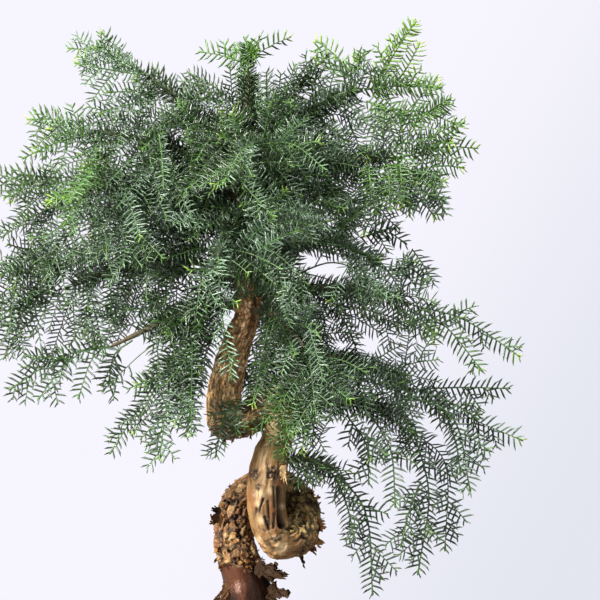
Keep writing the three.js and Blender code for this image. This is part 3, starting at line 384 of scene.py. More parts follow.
# Patches of another colour on the smooth wood, peeled ones and cream painted highlights: centre, reach and
# colour
PATCHES = [
    ((11, -45, 241), 8, WOOD_PEELED), ((7, -46, 249), 5, WOOD_PEELED), ((20, -40, 270), 6, WOOD_PEELED),
    ((-2, -45, 259), 9, PAINTED_HIGHLIGHT_CREAM), ((-4, -45, 249), 6, PAINTED_HIGHLIGHT_CREAM), ((0, -45, 233), 7, PAINTED_HIGHLIGHT_CREAM),
    ((9, -45, 262), 6, PAINTED_HIGHLIGHT_CREAM), ((23, -38, 246), 5, PAINTED_HIGHLIGHT_CREAM), ((20, -38, 205), 9, PAINTED_HIGHLIGHT_CREAM),
    ((-4, -44, 212), 8, PAINTED_HIGHLIGHT_CREAM), ((2, -44, 322), 7, PAINTED_HIGHLIGHT_CREAM),
]

# Peeling sheets: start, outward and running directions, length, width, curl and colour
SHEETS = [
    ((21, -43, 287), (0.2, -1, 0.1), (0.02, -0.1, -1), 20, 7, 0.5, WOOD_PALE),
    ((-6, -21, 186), (0.25, -1, 0.1), (1, -0.15, -0.5), 32, 20, 0.5, FLAKE_DARK),
    ((5, -15, 176), (0.4, -1, 0.4), (0.75, -0.2, 0.35), 15, 16, 0.8, FLAKE_DARK),
    ((6, -15, 164), (0.5, -1, 0), (0.75, 0, -0.75), 20, 20, 0.9, FLAKE_DARK),
    ((6, -14, 150), (0.6, -1, 0), (0.6, 0.1, -0.8), 16, 18, 1.0, FLAKE_DARK),
    ((-34, -14, 168), (-0.4, -1, 0), (-0.35, -0.1, -0.95), 22, 13, 0.6, SHEET_BROWN),
    ((-36, -8, 153), (-0.5, -1, 0), (-0.7, 0, -0.6), 11, 12, 0.9, FLAKE_DARK),
    ((-39, -10, 230), (-0.3, -1, 0.1), (-0.95, -0.1, 0.25), 17, 12, 0.9, SHEET_BROWN),
    ((-41, -8, 238), (-0.2, -1, 0.3), (-0.9, 0, 0.45), 12, 8, 1.4, FLAKE_DARK),
    ((50, -12, 224), (0.3, -1, 0.1), (0.95, -0.1, 0.25), 16, 15, 1.1, SHEET_BROWN),
    ((52, -10, 212), (0.4, -1, 0), (0.8, 0, -0.7), 14, 9, 1.6, BARK_OCHRE),
    ((39, -18, 196), (0.3, -1, -0.4), (0.3, 0, -1), 12, 4, 1.0, FLAKE_DARK),
    ((45, -16, 206), (0.5, -1, -0.3), (0.8, 0, -0.6), 11, 8, 0.9, SHEET_BROWN),
]

# Pot and soil, ring by ring: height, half width, half depth and corner radius
POT_WALL = [
    (12, 172, 112, 22), (16, 176, 116, 24), (64, 186, 126, 28), (66, 191, 131, 30), (76, 193, 133, 31),
    (78, 191, 131, 30), (78, 181, 121, 24), (76, 179, 119, 23), (26, 168, 108, 19), (20, 162, 102, 16),
]
FOOT_CENTRE = (136, 82)
FOOT_RINGS = [(0, 20, 12, 5), (1.5, 22, 14, 6), (14, 25, 17, 7)]
DRAIN_X = 85
DRAIN_RADIUS = 13
SOIL_SIDE = [(20.3, 161.6, 101.6, 16), (26.2, 167.6, 107.6, 19), (70, 177.3, 117.3, 22)]
GRANULES = 4000
GRANULE_RADII = [0.8, 1.2, 1.6, 2.3]
SOIL_ROUND = 240
MOSS_ROUND = 72
MOSS_LEAVES_PER_MM2 = 0.42
# Side roots: share of the root where each leaves and ends, turn in radians, thickness beside the root
ROOT_FORKS = [(0.36, 0.9, 0.62, 0.6), (0.5, 1.0, -0.5, 0.5)]
# Moss cushions: place and reach
MOSS = [
    (-92, 48, 34), (72, -54, 30), (108, 44, 26), (-58, -62, 24), (-134, -36, 18), (24, 78, 22),
    (46, -20, 16),
]

# Trunk: centre line and radius
COIL = [
    (9, 5, 48, 25), (8, 5, 72, 31), (2, 4, 105, 27.5), (-12, 0, 150, 25.5), (-18, 0, 175, 21.5),
    (-26, 3, 200, 20), (-29, 9, 222, 18.5), (-22, 17, 244, 18.5), (-6, 23, 259, 18.5), (14, 25, 262, 18.5),
    (33, 17, 249, 18), (42, 2, 231, 17.5), (34, -15, 213, 17.5), (17, -25, 210, 18),
]
STEM = [
    (17, -25, 210, 18), (8, -27, 228, 18), (5, -27, 250, 18.5), (6, -26, 275, 18.5), (9, -24, 297, 17.5),
    (15, -19, 316, 17.5), (22, -12, 334, 17.5), (26, -5, 348, 17),
]
BEND = [(26, -5, 348, 17), (8, 3, 346, 17), (-14, 0, 332, 17), (-37, -6, 328, 18)]
CROWN = [
    (-37, -6, 328, 18), (-38, -9, 352, 17.5), (-33, -8, 380, 16.5), (-24, -4, 410, 14.5),
    (-14, 0, 438, 12.5), (-18, 2, 470, 11), (-24, 0, 510, 10), (-26, 0, 550, 9), (-20, 2, 600, 7.5),
    (-14, 0, 640, 5.5), (-14, -2, 672, 3.2),
]
# Kinds of tube, in the order that bark_relief numbers them, and the radius that each is judged by
TUBE_SIZES = {"coil": 21, "stem": 18, "bend": 17.5, "crown": 13, "root": 6, "limb": 4}
# How far apart the tubes lie in the space where the bark's pattern is drawn
TUBE_APART = 977
# Middle of the trunk's foot, and of the soil's mound
FOOT_MIDDLE = (8, 5)
MOUND_MIDDLE = (6, 3)
MOUND_REACH = (165, 108)
# Roots: heading, reach and radius
ROOTS = [(15, 92, 11), (78, 80, 10), (140, 96, 12), (198, 104, 12), (255, 78, 10), (318, 88, 11)]
# Limbs: centre line, then the radius at the trunk and at the end
LIMBS = {
    "upper_right": ([(-20, 2, 600), (20, 5, 625), (60, 0, 646), (92, -4, 657)], 5, 2.6),
    "upper_left": ([(-22, 0, 585), (-60, -8, 630), (-92, -10, 658), (-116, -12, 675)], 4.5, 2.4),
    "left_high": ([(-25, 0, 560), (-80, -20, 598), (-128, -30, 611), (-160, -34, 616)], 5, 2.4),
    "left_mid": ([(-24, 0, 515), (-80, -30, 545), (-138, -45, 559), (-180, -49, 562)], 5.5, 2.4),
    "left_low": ([(-20, 2, 480), (-80, 10, 490), (-140, 15, 482), (-190, 11, 465)], 5.5, 2.4),
    "left_drop": ([(-16, 0, 445), (-60, -20, 442), (-102, -34, 426), (-140, -39, 408)], 5, 2.3),
    "right_high": ([(-25, 0, 560), (30, -10, 585), (88, -15, 590), (130, -15, 591)], 5.5, 2.4),
    "right_mid": ([(-22, 0, 492), (40, -20, 508), (80, -25, 506), (115, -25, 486)], 5, 2.4),
    "right_long": ([(-15, 0, 440), (30, -5, 460), (90, -10, 461), (140, -12, 448)], 5.5, 2.4),
    "right_low": ([(26, -5, 352), (40, -5, 382), (68, -8, 392), (108, -12, 381), (140, -12, 365)], 5.5, 2.4),
    "cascade": ([(20, -14, 328), (52, -2, 345), (100, -5, 347), (140, -9, 335)], 5, 2.3),
    "low_right": ([(9, -22, 288), (42, -18, 292), (68, -16, 284)], 4.5, 2.3),
    "back_high": ([(-20, 2, 600), (-10, 55, 622), (0, 95, 630)], 4, 2.4),
    "back_mid": ([(-25, 0, 530), (-38, 60, 548), (-48, 112, 551)], 4.5, 2.4),
    "back_right": ([(-25, 0, 545), (36, 62, 558), (74, 105, 556)], 4.5, 2.4),
    "back_low": ([(-16, 2, 462), (18, 60, 464), (42, 102, 450)], 4.5, 2.4),
    "back_left": ([(-18, 2, 470), (-75, 62, 480), (-108, 100, 474)], 4.5, 2.4),
    "front_mid": ([(-24, 0, 500), (-34, -50, 506), (-40, -88, 496)], 4.5, 2.4),
    "front_high": ([(-22, 0, 578), (-15, -50, 598), (-7, -86, 602)], 4, 2.4),
    "front_low": ([(-14, -2, 440), (16, -50, 434), (34, -78, 414)], 4, 2.3),
}
# Sprays: name, the limb it ends, axis, side shoots, roll, droop and forks
SPRAYS = [
    ("crown", "trunk", [(-14, -3, 681), (-15, -3, 696), (-17, -2, 712)], 14, 30, 0,
     [(3, (-40, -6, 694), (-62, -5, 698), 20, 20), (7, (8, -10, 703), (28, -8, 712), 18, 50),
      (11, (-10, -38, 694), (-6, -62, 688), 20, 60), (15, (-22, 32, 702), (-30, 58, 698), 20, 60)]),
    ("upper_left_long", "upper_left", [(-126, -13, 681), (-158, -16, 697), (-192, -20, 700)], 26, 20, 0.1,
     [(6, (-146, -2, 703), (-162, 4, 718), 22, 50)]),
    ("upper_left_low", None, [(-104, -26, 652), (-128, -34, 656), (-153, -38, 655)], 26, 10, 0.15, []),
    ("upper_left_slope", None, [(-72, 14, 640), (-92, 32, 664), (-112, 42, 686)], 24, 15, 0.1, []),
    ("left_high", "left_high", [(-170, -36, 618), (-200, -41, 628), (-230, -43, 628)], 24, 25, 0.15,
     [(6, (-202, -30, 607), (-236, -34, 590), 24, 10)]),
    ("left_high_hanging", None, [(-138, -44, 608), (-152, -54, 590), (-160, -58, 560)], 26, 30, 0.2, []),
    ("left_high_inner", None, [(-102, -38, 598), (-98, -56, 580), (-96, -62, 548)], 28, 20, 0.2, []),
    ("left_mid", "left_mid", [(-190, -50, 563), (-230, -52, 573), (-266, -52, 558)], 26, 10, 0.3, []),
    ("left_mid_front", None, [(-152, -60, 563), (-172, -86, 562), (-188, -106, 546)], 26, 35, 0.2, []),
    ("left_mid_low", None, [(-182, -42, 548), (-220, -42, 535), (-256, -43, 512)], 26, 20, 0.2, []),
    ("left_mid_inner", None, [(-118, -56, 547), (-135, -80, 530), (-150, -88, 500)], 28, 25, 0.2, []),
    ("left_low", "left_low", [(-200, 8, 461), (-238, 5, 450), (-274, 0, 425)], 26, 15, 0.2,
     [(6, (-216, -16, 440), (-229, -22, 414), 22, 30)]),
    ("left_low_hanging", None, [(-165, 2, 470), (-174, -6, 448), (-176, -10, 416)], 26, 10, 0.2, []),
    ("left_low_back", None, [(-158, 26, 486), (-200, 46, 490), (-245, 60, 478)], 26, 30, 0.2, []),
    ("left_low_upper", None, [(-196, -2, 474), (-240, -18, 481), (-282, -26, 466)], 24, 20, 0.2, []),
    ("left_drop", "left_drop", [(-150, -41, 404), (-197, -46, 394), (-248, -48, 362)], 24, 15, 0.2,
     [(7, (-168, -58, 388), (-179, -62, 354), 22, 20)]),
    ("left_drop_inner", None, [(-128, -26, 410), (-146, -22, 396), (-152, -20, 368)], 22, 20, 0.2, []),
    ("low_left_long", None, [(-64, -36, 428), (-102, -54, 372), (-148, -62, 300)], 26, 15, 0.15,
     [(8, (-112, -34, 402), (-157, -38, 360), 24, 30)]),
    ("low_left_mid", None, [(-52, -48, 436), (-80, -72, 378), (-103, -76, 304)], 26, 20, 0.15, []),
    ("low_left_inner", None, [(-42, -28, 430), (-62, -44, 376), (-75, -48, 316)], 22, 10, 0.15, []),
    ("front_hanging", "front_mid", [(-41, -98, 492), (-38, -124, 445), (-27, -118, 374)], 20, 25, 0.1,
     [(6, (-56, -126, 468), (-62, -128, 430), 20, 20)]),
    ("bend_hanging", None, [(-30, -34, 350), (-38, -50, 330), (-45, -55, 296)], 16, 20, 0.1, []),
    ("stem_hanging", None, [(30, -46, 372), (26, -60, 334), (22, -60, 292)], 16, 15, 0.1, []),
    ("front_high", "front_high", [(-7, -97, 601), (-20, -134, 590), (-35, -150, 560)], 28, 20, 0.2,
     [(5, (30, -118, 600), (62, -132, 575), 28, 30)]),
    ("front_mid", None, [(-20, -64, 508), (22, -88, 525), (60, -98, 520)], 30, 25, 0.2, []),
    ("front_low", "front_low", [(42, -87, 405), (62, -104, 388), (84, -112, 356)], 26, 20, 0.2, []),
    ("upper_right", "upper_right", [(102, -4, 660), (140, -5, 664), (178, -8, 661)], 28, 15, 0.1,
     [(8, (130, 2, 698), (153, 0, 728), 14, 20)]),
    ("upper_right_top", None, [(84, -6, 664), (76, -10, 690), (54, -12, 709)], 18, 20, 0.1,
     [(8, (96, -28, 686), (102, -44, 696), 14, 40)]),
    ("upper_right_low", None, [(104, -16, 648), (148, -20, 633), (186, -22, 646)], 26, 10, 0.15, []),
    ("right_high", "right_high", [(140, -15, 592), (178, -17, 602), (214, -18, 601)], 26, 15, 0.2,
     [(6, (166, -2, 611), (198, 2, 628), 20, 40)]),
    ("right_high_low", None, [(130, -26, 583), (162, -32, 570), (180, -34, 538)], 26, 20, 0.2, []),
    ("right_high_inner", None, [(104, -26, 580), (114, -40, 560), (116, -44, 525)], 28, 20, 0.2, []),
    ("right_mid", "right_mid", [(124, -26, 479), (145, -29, 482), (164, -31, 468)], 22, 20, 0.2, []),
    ("right_mid_low", None, [(92, -36, 496), (94, -46, 480), (96, -50, 452)], 24, 25, 0.2, []),
    ("right_mid_top", None, [(98, -16, 512), (124, -8, 518), (144, -4, 506)], 22, 20, 0.2, []),
    ("right_long", "right_long", [(150, -13, 445), (202, -16, 430), (256, -20, 394)], 26, 30, 0.15,
     [(8, (186, -32, 420), (217, -36, 381), 18, 10)]),
    ("right_low", "right_low", [(150, -12, 361), (200, -14, 363), (246, -16, 362)], 20, 15, 0.15,
     [(8, (205, -26, 334), (258, -28, 311), 24, 20)]),
    ("right_low_hanging", None, [(132, -22, 358), (188, -40, 335), (206, -40, 262)], 30, 10, 0.15, []),
    ("cascade", "cascade", [(148, -12, 328), (166, -18, 258), (155, -20, 178)], 28, 15, 0.1,
     [(8, (184, 4, 284), (183, -2, 200), 24, 10)]),
    ("cascade_inner", None, [(110, -16, 334), (128, -34, 300), (132, -40, 246)], 26, 20, 0.15, []),
    ("low_right", "low_right", [(76, -17, 278), (104, -22, 236), (110, -24, 158)], 26, 15, 0.1, []),
    ("low_right_top", None, [(84, -14, 336), (104, -24, 306), (106, -28, 268)], 20, 20, 0.1, []),
    ("back_high", "back_high", [(1, 106, 630), (14, 128, 622), (26, 142, 598)], 30, 10, 0.2,
     [(5, (-28, 122, 632), (-58, 132, 618), 28, 20)]),
    ("back_mid", "back_mid", [(-51, 123, 550), (-70, 142, 540), (-86, 150, 512)], 30, 15, 0.2,
     [(5, (-34, 146, 546), (-14, 158, 524), 28, 20)]),
    ("back_right", "back_right", [(82, 114, 555), (112, 128, 548), (142, 134, 524)], 30, 20, 0.2,
     [(6, (82, 142, 540), (80, 152, 506), 26, 10)]),
    ("back_low", "back_low", [(48, 112, 445), (62, 130, 424), (70, 140, 388)], 30, 15, 0.2,
     [(5, (86, 120, 436), (122, 124, 416), 26, 20)]),
    ("back_left", "back_left", [(-116, 109, 472), (-146, 122, 462), (-176, 128, 436)], 30, 15, 0.2,
     [(6, (-112, 134, 456), (-110, 142, 420), 26, 10)]),
    ("back_upper_left", None, [(-62, 66, 566), (-104, 84, 578), (-146, 92, 568)], 30, 20, 0.2, []),
    ("back_upper_right", None, [(22, 62, 586), (66, 74, 604), (108, 78, 596)], 30, 15, 0.2, []),
    ("inner_left", None, [(-66, 28, 512), (-96, 36, 532), (-124, 34, 528)], 26, 15, 0.2, []),
    ("inner_right", None, [(34, 26, 476), (70, 34, 488), (104, 30, 478)], 28, 20, 0.2, []),
    ("top_right", None, [(8, 6, 636), (32, 4, 656), (50, -4, 684)], 28, 20, 0.15,
     [(6, (40, 20, 640), (66, 28, 660), 22, 40)]),
    ("top_left", None, [(-26, -4, 644), (-46, -6, 662), (-74, -8, 677)], 28, 20, 0.15,
     [(6, (-52, -24, 648), (-82, -36, 644), 22, 20)]),
    ("upper_left_inner", None, [(-66, -20, 624), (-86, -36, 628), (-114, -46, 612)], 28, 20, 0.2, []),
    ("inner_top", None, [(-34, -18, 606), (-52, -34, 618), (-70, -44, 606)], 24, 20, 0.2, []),
]


# Small helpers
def noise_of(i, k):
    """A number from 0 to 1 for a pair of numbers, the same one that the frame's own source draws."""
    s = math.sin(i * 12.9898 + k * 78.233) * 43758.5453
    return s - math.floor(s)


def unit(v):
    v = np.asarray(v, float)
    return v / np.maximum(np.linalg.norm(v, axis=-1, keepdims=True), 1e-9)


def smooth(low, high, x):
    """From 0 at low to 1 at high, level at both ends."""
    t = np.clip((x - low) / (high - low), 0, 1)
    return t * t * (3 - 2 * t)


def mixed(a, b, t):
    """The colour at share t from a to b, for each point."""
    t = np.asarray(t)[..., None]
    return np.asarray(a) * (1 - t) + np.asarray(b) * t


def hashed(cell, seed):
    """A random number from 0 to 1 for each lattice cell; the product may run over, which mixes it further."""
    with np.errstate(over="ignore"):
        h = cell @ np.array(HASH_PRIMES) + seed * HASH_SEED_PRIME
        h = (h ^ (h >> 13)) * HASH_MIX_PRIME
    h = h ^ (h >> 16)
    return (h & 0xFFFFFF) / float(0xFFFFFF)


def value_noise(p, seed):
    """Smooth noise from 0 to 1 over unit cells."""
    cell = np.floor(p).astype(np.int64)
    f = p - cell
    f = f * f * (3 - 2 * f)
    total = 0
    for corner in np.ndindex(2, 2, 2):
        w = np.prod(np.where(np.array(corner) == 1, f, 1 - f), axis=-1)
        total = total + w * hashed(cell + np.array(corner), seed)
    return total


def layered_noise(p, seed):
    """Four layers of noise, each half as broad and half as strong as the one before."""
    total, weight, size = 0, 0, 1.0
    for k in range(4):
        total = total + value_noise(p / size, seed + k) * size
        weight += size
        size *= 0.5
    return total / weight


def cells(p, seed):
    """For each point the distances to the nearest two cell centres, and the nearest cell's own number."""
    base = np.floor(p).astype(np.int64)
    first = np.full(len(p), 9.0)
    second = np.full(len(p), 9.0)
    number = np.zeros(len(p))
    for offset in np.ndindex(3, 3, 3):
        cell = base + np.array(offset) - 1
        centre = cell + np.stack([hashed(cell, seed + k) for k in (11, 12, 13)], axis=-1)
        d = np.linalg.norm(p - centre, axis=-1)
        near = d < first
        second = np.where(near, first, np.minimum(second, d))
        number = np.where(near, hashed(cell, seed + 14), number)
        first = np.where(near, d, first)
    return first, second, number


class Strand:
    """A line through control points, walked by its length."""

    def __init__(self, points, samples=24):
        p = np.array(points, float)
        p = np.vstack([2 * p[0] - p[1], p, 2 * p[-1] - p[-2]])
        rows = []
        for i in range(1, len(p) - 2):
            t = (np.arange(samples) / samples)[:, None]
            a, b, c, d = p[i - 1], p[i], p[i + 1], p[i + 2]
            rows.append(0.5 * (2 * b + (c - a) * t + (2 * a - 5 * b + 4 * c - d) * t ** 2
                               + (3 * b - a - 3 * c + d) * t ** 3))
        self.points = np.vstack(rows + [p[-2][None]])
        steps = np.linalg.norm(np.diff(self.points, axis=0), axis=1)
        self.at = np.concatenate([[0], np.cumsum(steps)])
        self.length = self.at[-1]
        self.samples = samples

    def pos(self, s):
        return np.stack([np.interp(s, self.at, self.points[:, k]) for k in range(3)], axis=-1)

    def tan(self, s):
        step = min(2, self.length / 8)
        return unit(self.pos(np.minimum(self.length, s + step)) - self.pos(np.maximum(0, s - step)))

    def knot(self, s):
        return np.interp(s, self.at, np.arange(len(self.at))) / self.samples


def placed(name, data):
    obj = bpy.data.objects.new(name, data)
    bpy.context.scene.collection.objects.link(obj)
    return obj


def new_mesh(name, vertices, faces, materials, slots=None, fields=None):
    """A mesh object from millimetre vertices and faces of equal size, riding on the only body."""
    faces = np.asarray(faces, np.int32)
    mesh = bpy.data.meshes.new(name)
    mesh.vertices.add(len(vertices))
    mesh.vertices.foreach_set("co", (np.asarray(vertices) * MM + ORIGIN).astype(np.float32).ravel())
    mesh.loops.add(faces.size)
    mesh.loops.foreach_set("vertex_index", faces.ravel())
    mesh.polygons.add(len(faces))
    mesh.polygons.foreach_set("loop_start", np.arange(len(faces), dtype=np.int32) * faces.shape[1])
    for material in materials:
        mesh.materials.append(material)
    if slots is not None:
        mesh.polygons.foreach_set("material_index", np.asarray(slots, np.int32))
    mesh.polygons.foreach_set("use_smooth", np.ones(len(faces), bool))
    for key, values in (fields or {}).items():
        data = mesh.attributes.new(key, "FLOAT_VECTOR", "POINT").data
        data.foreach_set("vector", np.asarray(values, np.float32).ravel())
    mesh.update(calc_edges=True)
    obj = placed(name, mesh)
    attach(obj, "root")
    return obj


# Layout of the foliage, by the rule that the frame's own sprays follow
def side_vectors(t, roll_deg):
    """Across each heading: level in the front view, then rolled about the heading."""
    t = np.atleast_2d(t)
    flat = np.cross(np.array([0.0, 1.0, 0.0]), t)
    weak = np.linalg.norm(flat, axis=1) < 0.2
    flat[weak] = np.array([1.0, 0, 0]) - t[weak] * t[weak, :1]
    flat = unit(flat)
    deep = np.cross(t, flat)
    roll = math.radians(roll_deg)
    return flat * math.cos(roll) + deep * math.sin(roll)


def shoot_strand(parent, s, side, roll, length, droop):
    """A side shoot that leaves its parent at s, to side 1 or -1."""
    u = s / parent.length
    t = parent.tan(s)
    start = parent.pos(s + FORK_LEAD)
    lean = math.radians(SHOOT_LEAN_DEG[0] + (SHOOT_LEAN_DEG[1] - SHOOT_LEAN_DEG[0]) * u)
    heading = t * math.cos(lean) + side_vectors(t, roll)[0] * side * math.sin(lean)
    return drooping(start, heading, length, droop, 8)


class Line:
    """One green stem with its needles."""

    def __init__(self, strand, roll, radius, fresh, tip):
        self.strand = strand
        self.roll = roll
        self.radius = radius
        self.fresh = fresh
        self.tip = max(0.0, 2.4 * tip - 1.7)
        self.start = 0.0
        self.density = NEEDLES_PER_MM
        self.shade = 0.0
        self.longer = 1.0
        self.wider = 1.0
        self.wood = False
        self.exempt = False
        self.main = False


def feathered(strand, side, roll, droop, key, fresh, first=0.7, radius=AXIS_RADIUS, twins=1.0,
              step=SHOOT_STEP):
    """A line and its side shoots in pairs: one where the frame has its own, the other beside it."""
    lines = [Line(strand, roll, radius, fresh, 0.5 + 0.5 * noise_of(key, 5))]
    lines[0].main = True
    side *= SIDE_SCALE
    pair = 0
    while True:
        s = step * (2 * pair + first)
        if s > strand.length - 8:
            return lines
        for twin in (0, 1):
            place = s + twin * (7 + 8 * noise_of(pair, key + 3))
            if place > strand.length - 8 or (twin and noise_of(pair, key + 9) > twins):
                continue
            u = place / strand.length
            length = side * (1 - SHOOT_TAPER * u ** 1.5) * (0.8 + 0.4 * noise_of(2 * pair + 1 + twin, key))
            length *= 1 + TWIN_LONGER * twin
            turn = 30 * twin * (noise_of(pair, key + 2) - 0.5)
            if length > SHOOT_SHORTEST:
                hand = (-1 if pair % 2 else 1) * (1 - 2 * twin)
                shoot = shoot_strand(strand, place, hand, roll + turn, length, droop)
                tip = noise_of(2 * pair + twin + 7, key)
                lines.append(Line(shoot, roll + turn, SHOOT_RADIUS, fresh, tip))
        pair += 1


def turned(v, axis, degrees):
    """A vector turned about an axis."""
    a = math.radians(degrees)
    axis = unit(axis)
    return v * math.cos(a) + np.cross(axis, v) * math.sin(a) + axis * (axis @ v) * (1 - math.cos(a))


def companion(strand, s, yaw, pitch, length, roll, droop):
    """The middle line of a further frond that leaves a line at s."""
    t = strand.tan(s)
    side = side_vectors(t, roll)[0]
    heading = turned(turned(t, np.cross(t, side), yaw), side, pitch)
    return drooping(strand.pos(s), heading, length, droop, 12)


def bark_tube(points, radii, sides, step, flat_end=None):
    """A closed tube along a strand: its rings, faces and the samples that bark is matched to."""
    strand = Strand(points)
    count = max(2, round(strand.length / step))
    s = strand.length * np.arange(count + 1) / count
    knot = strand.knot(s)
    i = np.minimum(len(radii) - 2, np.floor(knot).astype(int))
    f = knot - i
    f = f * f * (3 - 2 * f)
    radii = np.array(radii, float)
    r = radii[i] + (radii[i + 1] - radii[i]) * f
    centre = strand.pos(s)
    tangent = strand.tan(s)
    if flat_end is not None:
        tangent[-1] = flat_end
    else:
        centre = np.vstack([centre, centre[-1] + tangent[-1] * 0.6 * r[-1]])
        tangent = np.vstack([tangent, tangent[-1]])
        r = np.append(r, 0.76 * r[-1])
    centre = np.vstack([centre[0] - tangent[0] * 0.6 * r[0], centre])
    tangent = np.vstack([tangent[0], tangent])
    r = np.concatenate([[0.76 * r[0]], r])
    return strand, closed_tube(centre, tangent, r, sides)


def closed_tube(centre, tangent, r, sides):
    normal = np.array([0.3, -1.0, 0.2])
    rings = []
    angle = 2 * math.pi * np.arange(sides) / sides
    for c, t, radius in zip(centre, tangent, r):
        normal = unit(normal - t * (normal @ t))
        side = np.cross(t, normal)
        rings.append(c + radius * (np.cos(angle)[:, None] * normal + np.sin(angle)[:, None] * side))
    return ring_skin(rings, [centre[0], centre[-1]])


def ring_skin(rings, middles=None):
    """A closed body through rings of equal count, with a fan at each end."""
    n = len(rings[0])
    middles = middles or [rings[0].mean(axis=0), rings[-1].mean(axis=0)]
    faces = []
    for j in range(len(rings) - 1):
        faces += band(j * n, n)
    first, last, top = len(rings) * n, len(rings) * n + 1, (len(rings) - 1) * n
    for k in range(n):
        faces += [(first, (k + 1) % n, k), (top + k, top + (k + 1) % n, last)]
    return np.vstack(rings + middles), np.array(faces, np.int32)


def band(start, n):
    """The faces between the ring of n points that starts at a number and the ring after it."""
    faces = []
    for k in range(n):
        a, b = start + k, start + (k + 1) % n
        faces += [(a, b, b + n), (a, b + n, a + n)]
    return faces


def joined(parts):
    """The vertices and faces of several parts as one."""
    starts = np.cumsum([0] + [len(v) for v, _ in parts[:-1]])
    return np.vstack([v for v, _ in parts]), np.vstack([f + start for (_, f), start in zip(parts, starts)])


def drooping(start, heading, length, droop, samples):
    """A line from start along heading, whose free end sinks by a share of its length."""
    points = [start + heading * length * v + np.array([0, 0, -droop * length * v * v]) for v in (0, 0.5, 1)]
    return Strand(points, samples)


# Wood: one skin over trunk, limbs and roots, then relief by zone
def seat_of(axis_points):
    """Heading of a spray at its base, and the place just short of it where its limb ends."""
    axis = Strand(axis_points)
    heading = axis.tan(0.0)
    return heading, axis.pos(0.0) - heading * SEAT_GAP


def columns(rows):
    """The places and the radii of a list of rows."""
    return [r[:3] for r in rows], [r[3] for r in rows]


def from_foot(distance, angle):
    return FOOT_MIDDLE[0] + distance * math.cos(angle), FOOT_MIDDLE[1] + distance * math.sin(angle)


def root_points(heading_deg, reach):
    a = math.radians(heading_deg)
    places = ((8, 90, 0), (34, 81, 0.05), (reach * 0.68, 73, -0.08), (reach, 60, 0.06))
    return [(*from_foot(d, a + turn), z) for d, z, turn in places]


def fork_points(heading_deg, reach, start, end, turn):
    """A side root that leaves its root and sinks into the soil."""
    points = []
    for t in (0, 0.4, 0.75, 1):
        x, y = from_foot(reach * (start + (end - start) * t), math.radians(heading_deg) + turn * t ** 0.8)
        points.append((x, y, float(soil_height(np.array(x), np.array(y))) + 2.0 - 6.0 * t * t))
    return points


def wood_tubes():
    """The tubes of the coil, front stem and roots, of the bend and neck above them, and of the crown."""
    lower, neck = ([(name, bark_tube(*columns(rows), *THICK_TUBE)) for name, rows in group]
                   for group in ((("coil", COIL), ("stem", STEM)), (("bend", BEND),)))
    crown_heading, crown_end = seat_of(SPRAYS[0][2])
    split = next(k for k, row in enumerate(CROWN) if row[2] > SEAM_Z)
    neck.append(("crown", bark_tube(*columns(CROWN[:split + 1]), *CROWN_TUBE)))
    top = CROWN[split - 1:] + [(*crown_end, SEAT_RADIUS)]
    upper = [("crown", bark_tube(*columns(top), *CROWN_TUBE, crown_heading))]
    for k, (heading, reach, radius) in enumerate(ROOTS):
        radii = [radius, radius * 0.8, radius * 0.5, radius * 0.3]
        lower.append(("root", bark_tube(root_points(heading, reach), radii, *ROOT_TUBE)))
        for start, end, turn, size in ROOT_FORKS:
            points = fork_points(heading, reach, start, end, turn * (-1) ** k)
            radii = [radius * size * share for share in (0.9, 0.7, 0.5, 0.3)]
            lower.append(("root", bark_tube(points, radii, *FORK_TUBE)))
    ends = {row[1]: row[2] for row in SPRAYS if row[1]}
    for name, (points, thick, thin) in LIMBS.items():
        heading, end = seat_of(ends[name])
        radii = [thick + (thin - thick) * k / (len(points) - 1) for k in range(len(points))]
        upper.append(("limb", bark_tube([*points, end], radii + [SEAT_RADIUS], *LIMB_TUBE, heading)))
    return lower, neck, upper


def remeshed(tubes, voxel):
    """The outer skin of the overlapping tubes, as millimetre vertices, normals and quads."""
    raw = new_mesh("wood_raw", *joined([skin for _, (_, skin) in tubes]), [])
    remesh = raw.modifiers.new("skin", "REMESH")
    remesh.mode = "VOXEL"
    remesh.voxel_size = voxel * MM
    shown = raw.evaluated_get(bpy.context.evaluated_depsgraph_get())
    skin = shown.to_mesh()
    co, normal = np.empty((2, len(skin.vertices) * 3), np.float32)
    skin.vertices.foreach_get("co", co)
    skin.vertex_normals.foreach_get("vector", normal)
    quads = np.empty(len(skin.loops), np.int32)
    skin.loops.foreach_get("vertex_index", quads)
    shown.to_mesh_clear()
    bpy.data.objects.remove(raw)
    return (co.reshape(-1, 3) - ORIGIN) / MM, normal.reshape(-1, 3), quads.reshape(-1, 4)


def matched(points, tubes):
    """For each point the kind of tube it belongs to, and its place in that tube straightened out."""
    best = np.full(len(points), 1e9)
    kind = np.zeros(len(points), int)
    straight = np.zeros((len(points), 3))
    reference = np.array([0.25, 1.0, 0.1])
    for name in dict.fromkeys(name for name, _ in tubes):
        samples = [(number, strand, s) for number, (of, (strand, _)) in enumerate(tubes) if of == name
                   for s in np.arange(0, strand.length, 1.5)]
        centres = np.array([strand.pos(s) for _, strand, s in samples])
        tree = KDTree(len(samples))
        for i, centre in enumerate(centres):
            tree.insert(centre, i)
        tree.balance()
        found = [tree.find(p)[1:] for p in points]
        index = np.array([f[0] for f in found])
        score = np.array([f[1] for f in found]) / TUBE_SIZES[name]
        closer = score < best
        tangents = np.array([strand.tan(s) for _, strand, s in samples])[index]
        number, place = (np.array([row[k] for row in samples])[index] for k in (0, 2))
        out = points - centres[index]
        place = place + np.sum(out * tangents, axis=1)
        normal = unit(reference - tangents * (tangents @ reference)[:, None])
        side = np.cross(tangents, normal)
        across = [np.sum(out * v, axis=1) for v in (normal, side)]
        kind[closer] = list(TUBE_SIZES).index(name)
        straight[closer] = np.stack([*across, place + TUBE_APART * number], axis=1)[closer]
        best[closer] = score[closer]
    return kind, straight


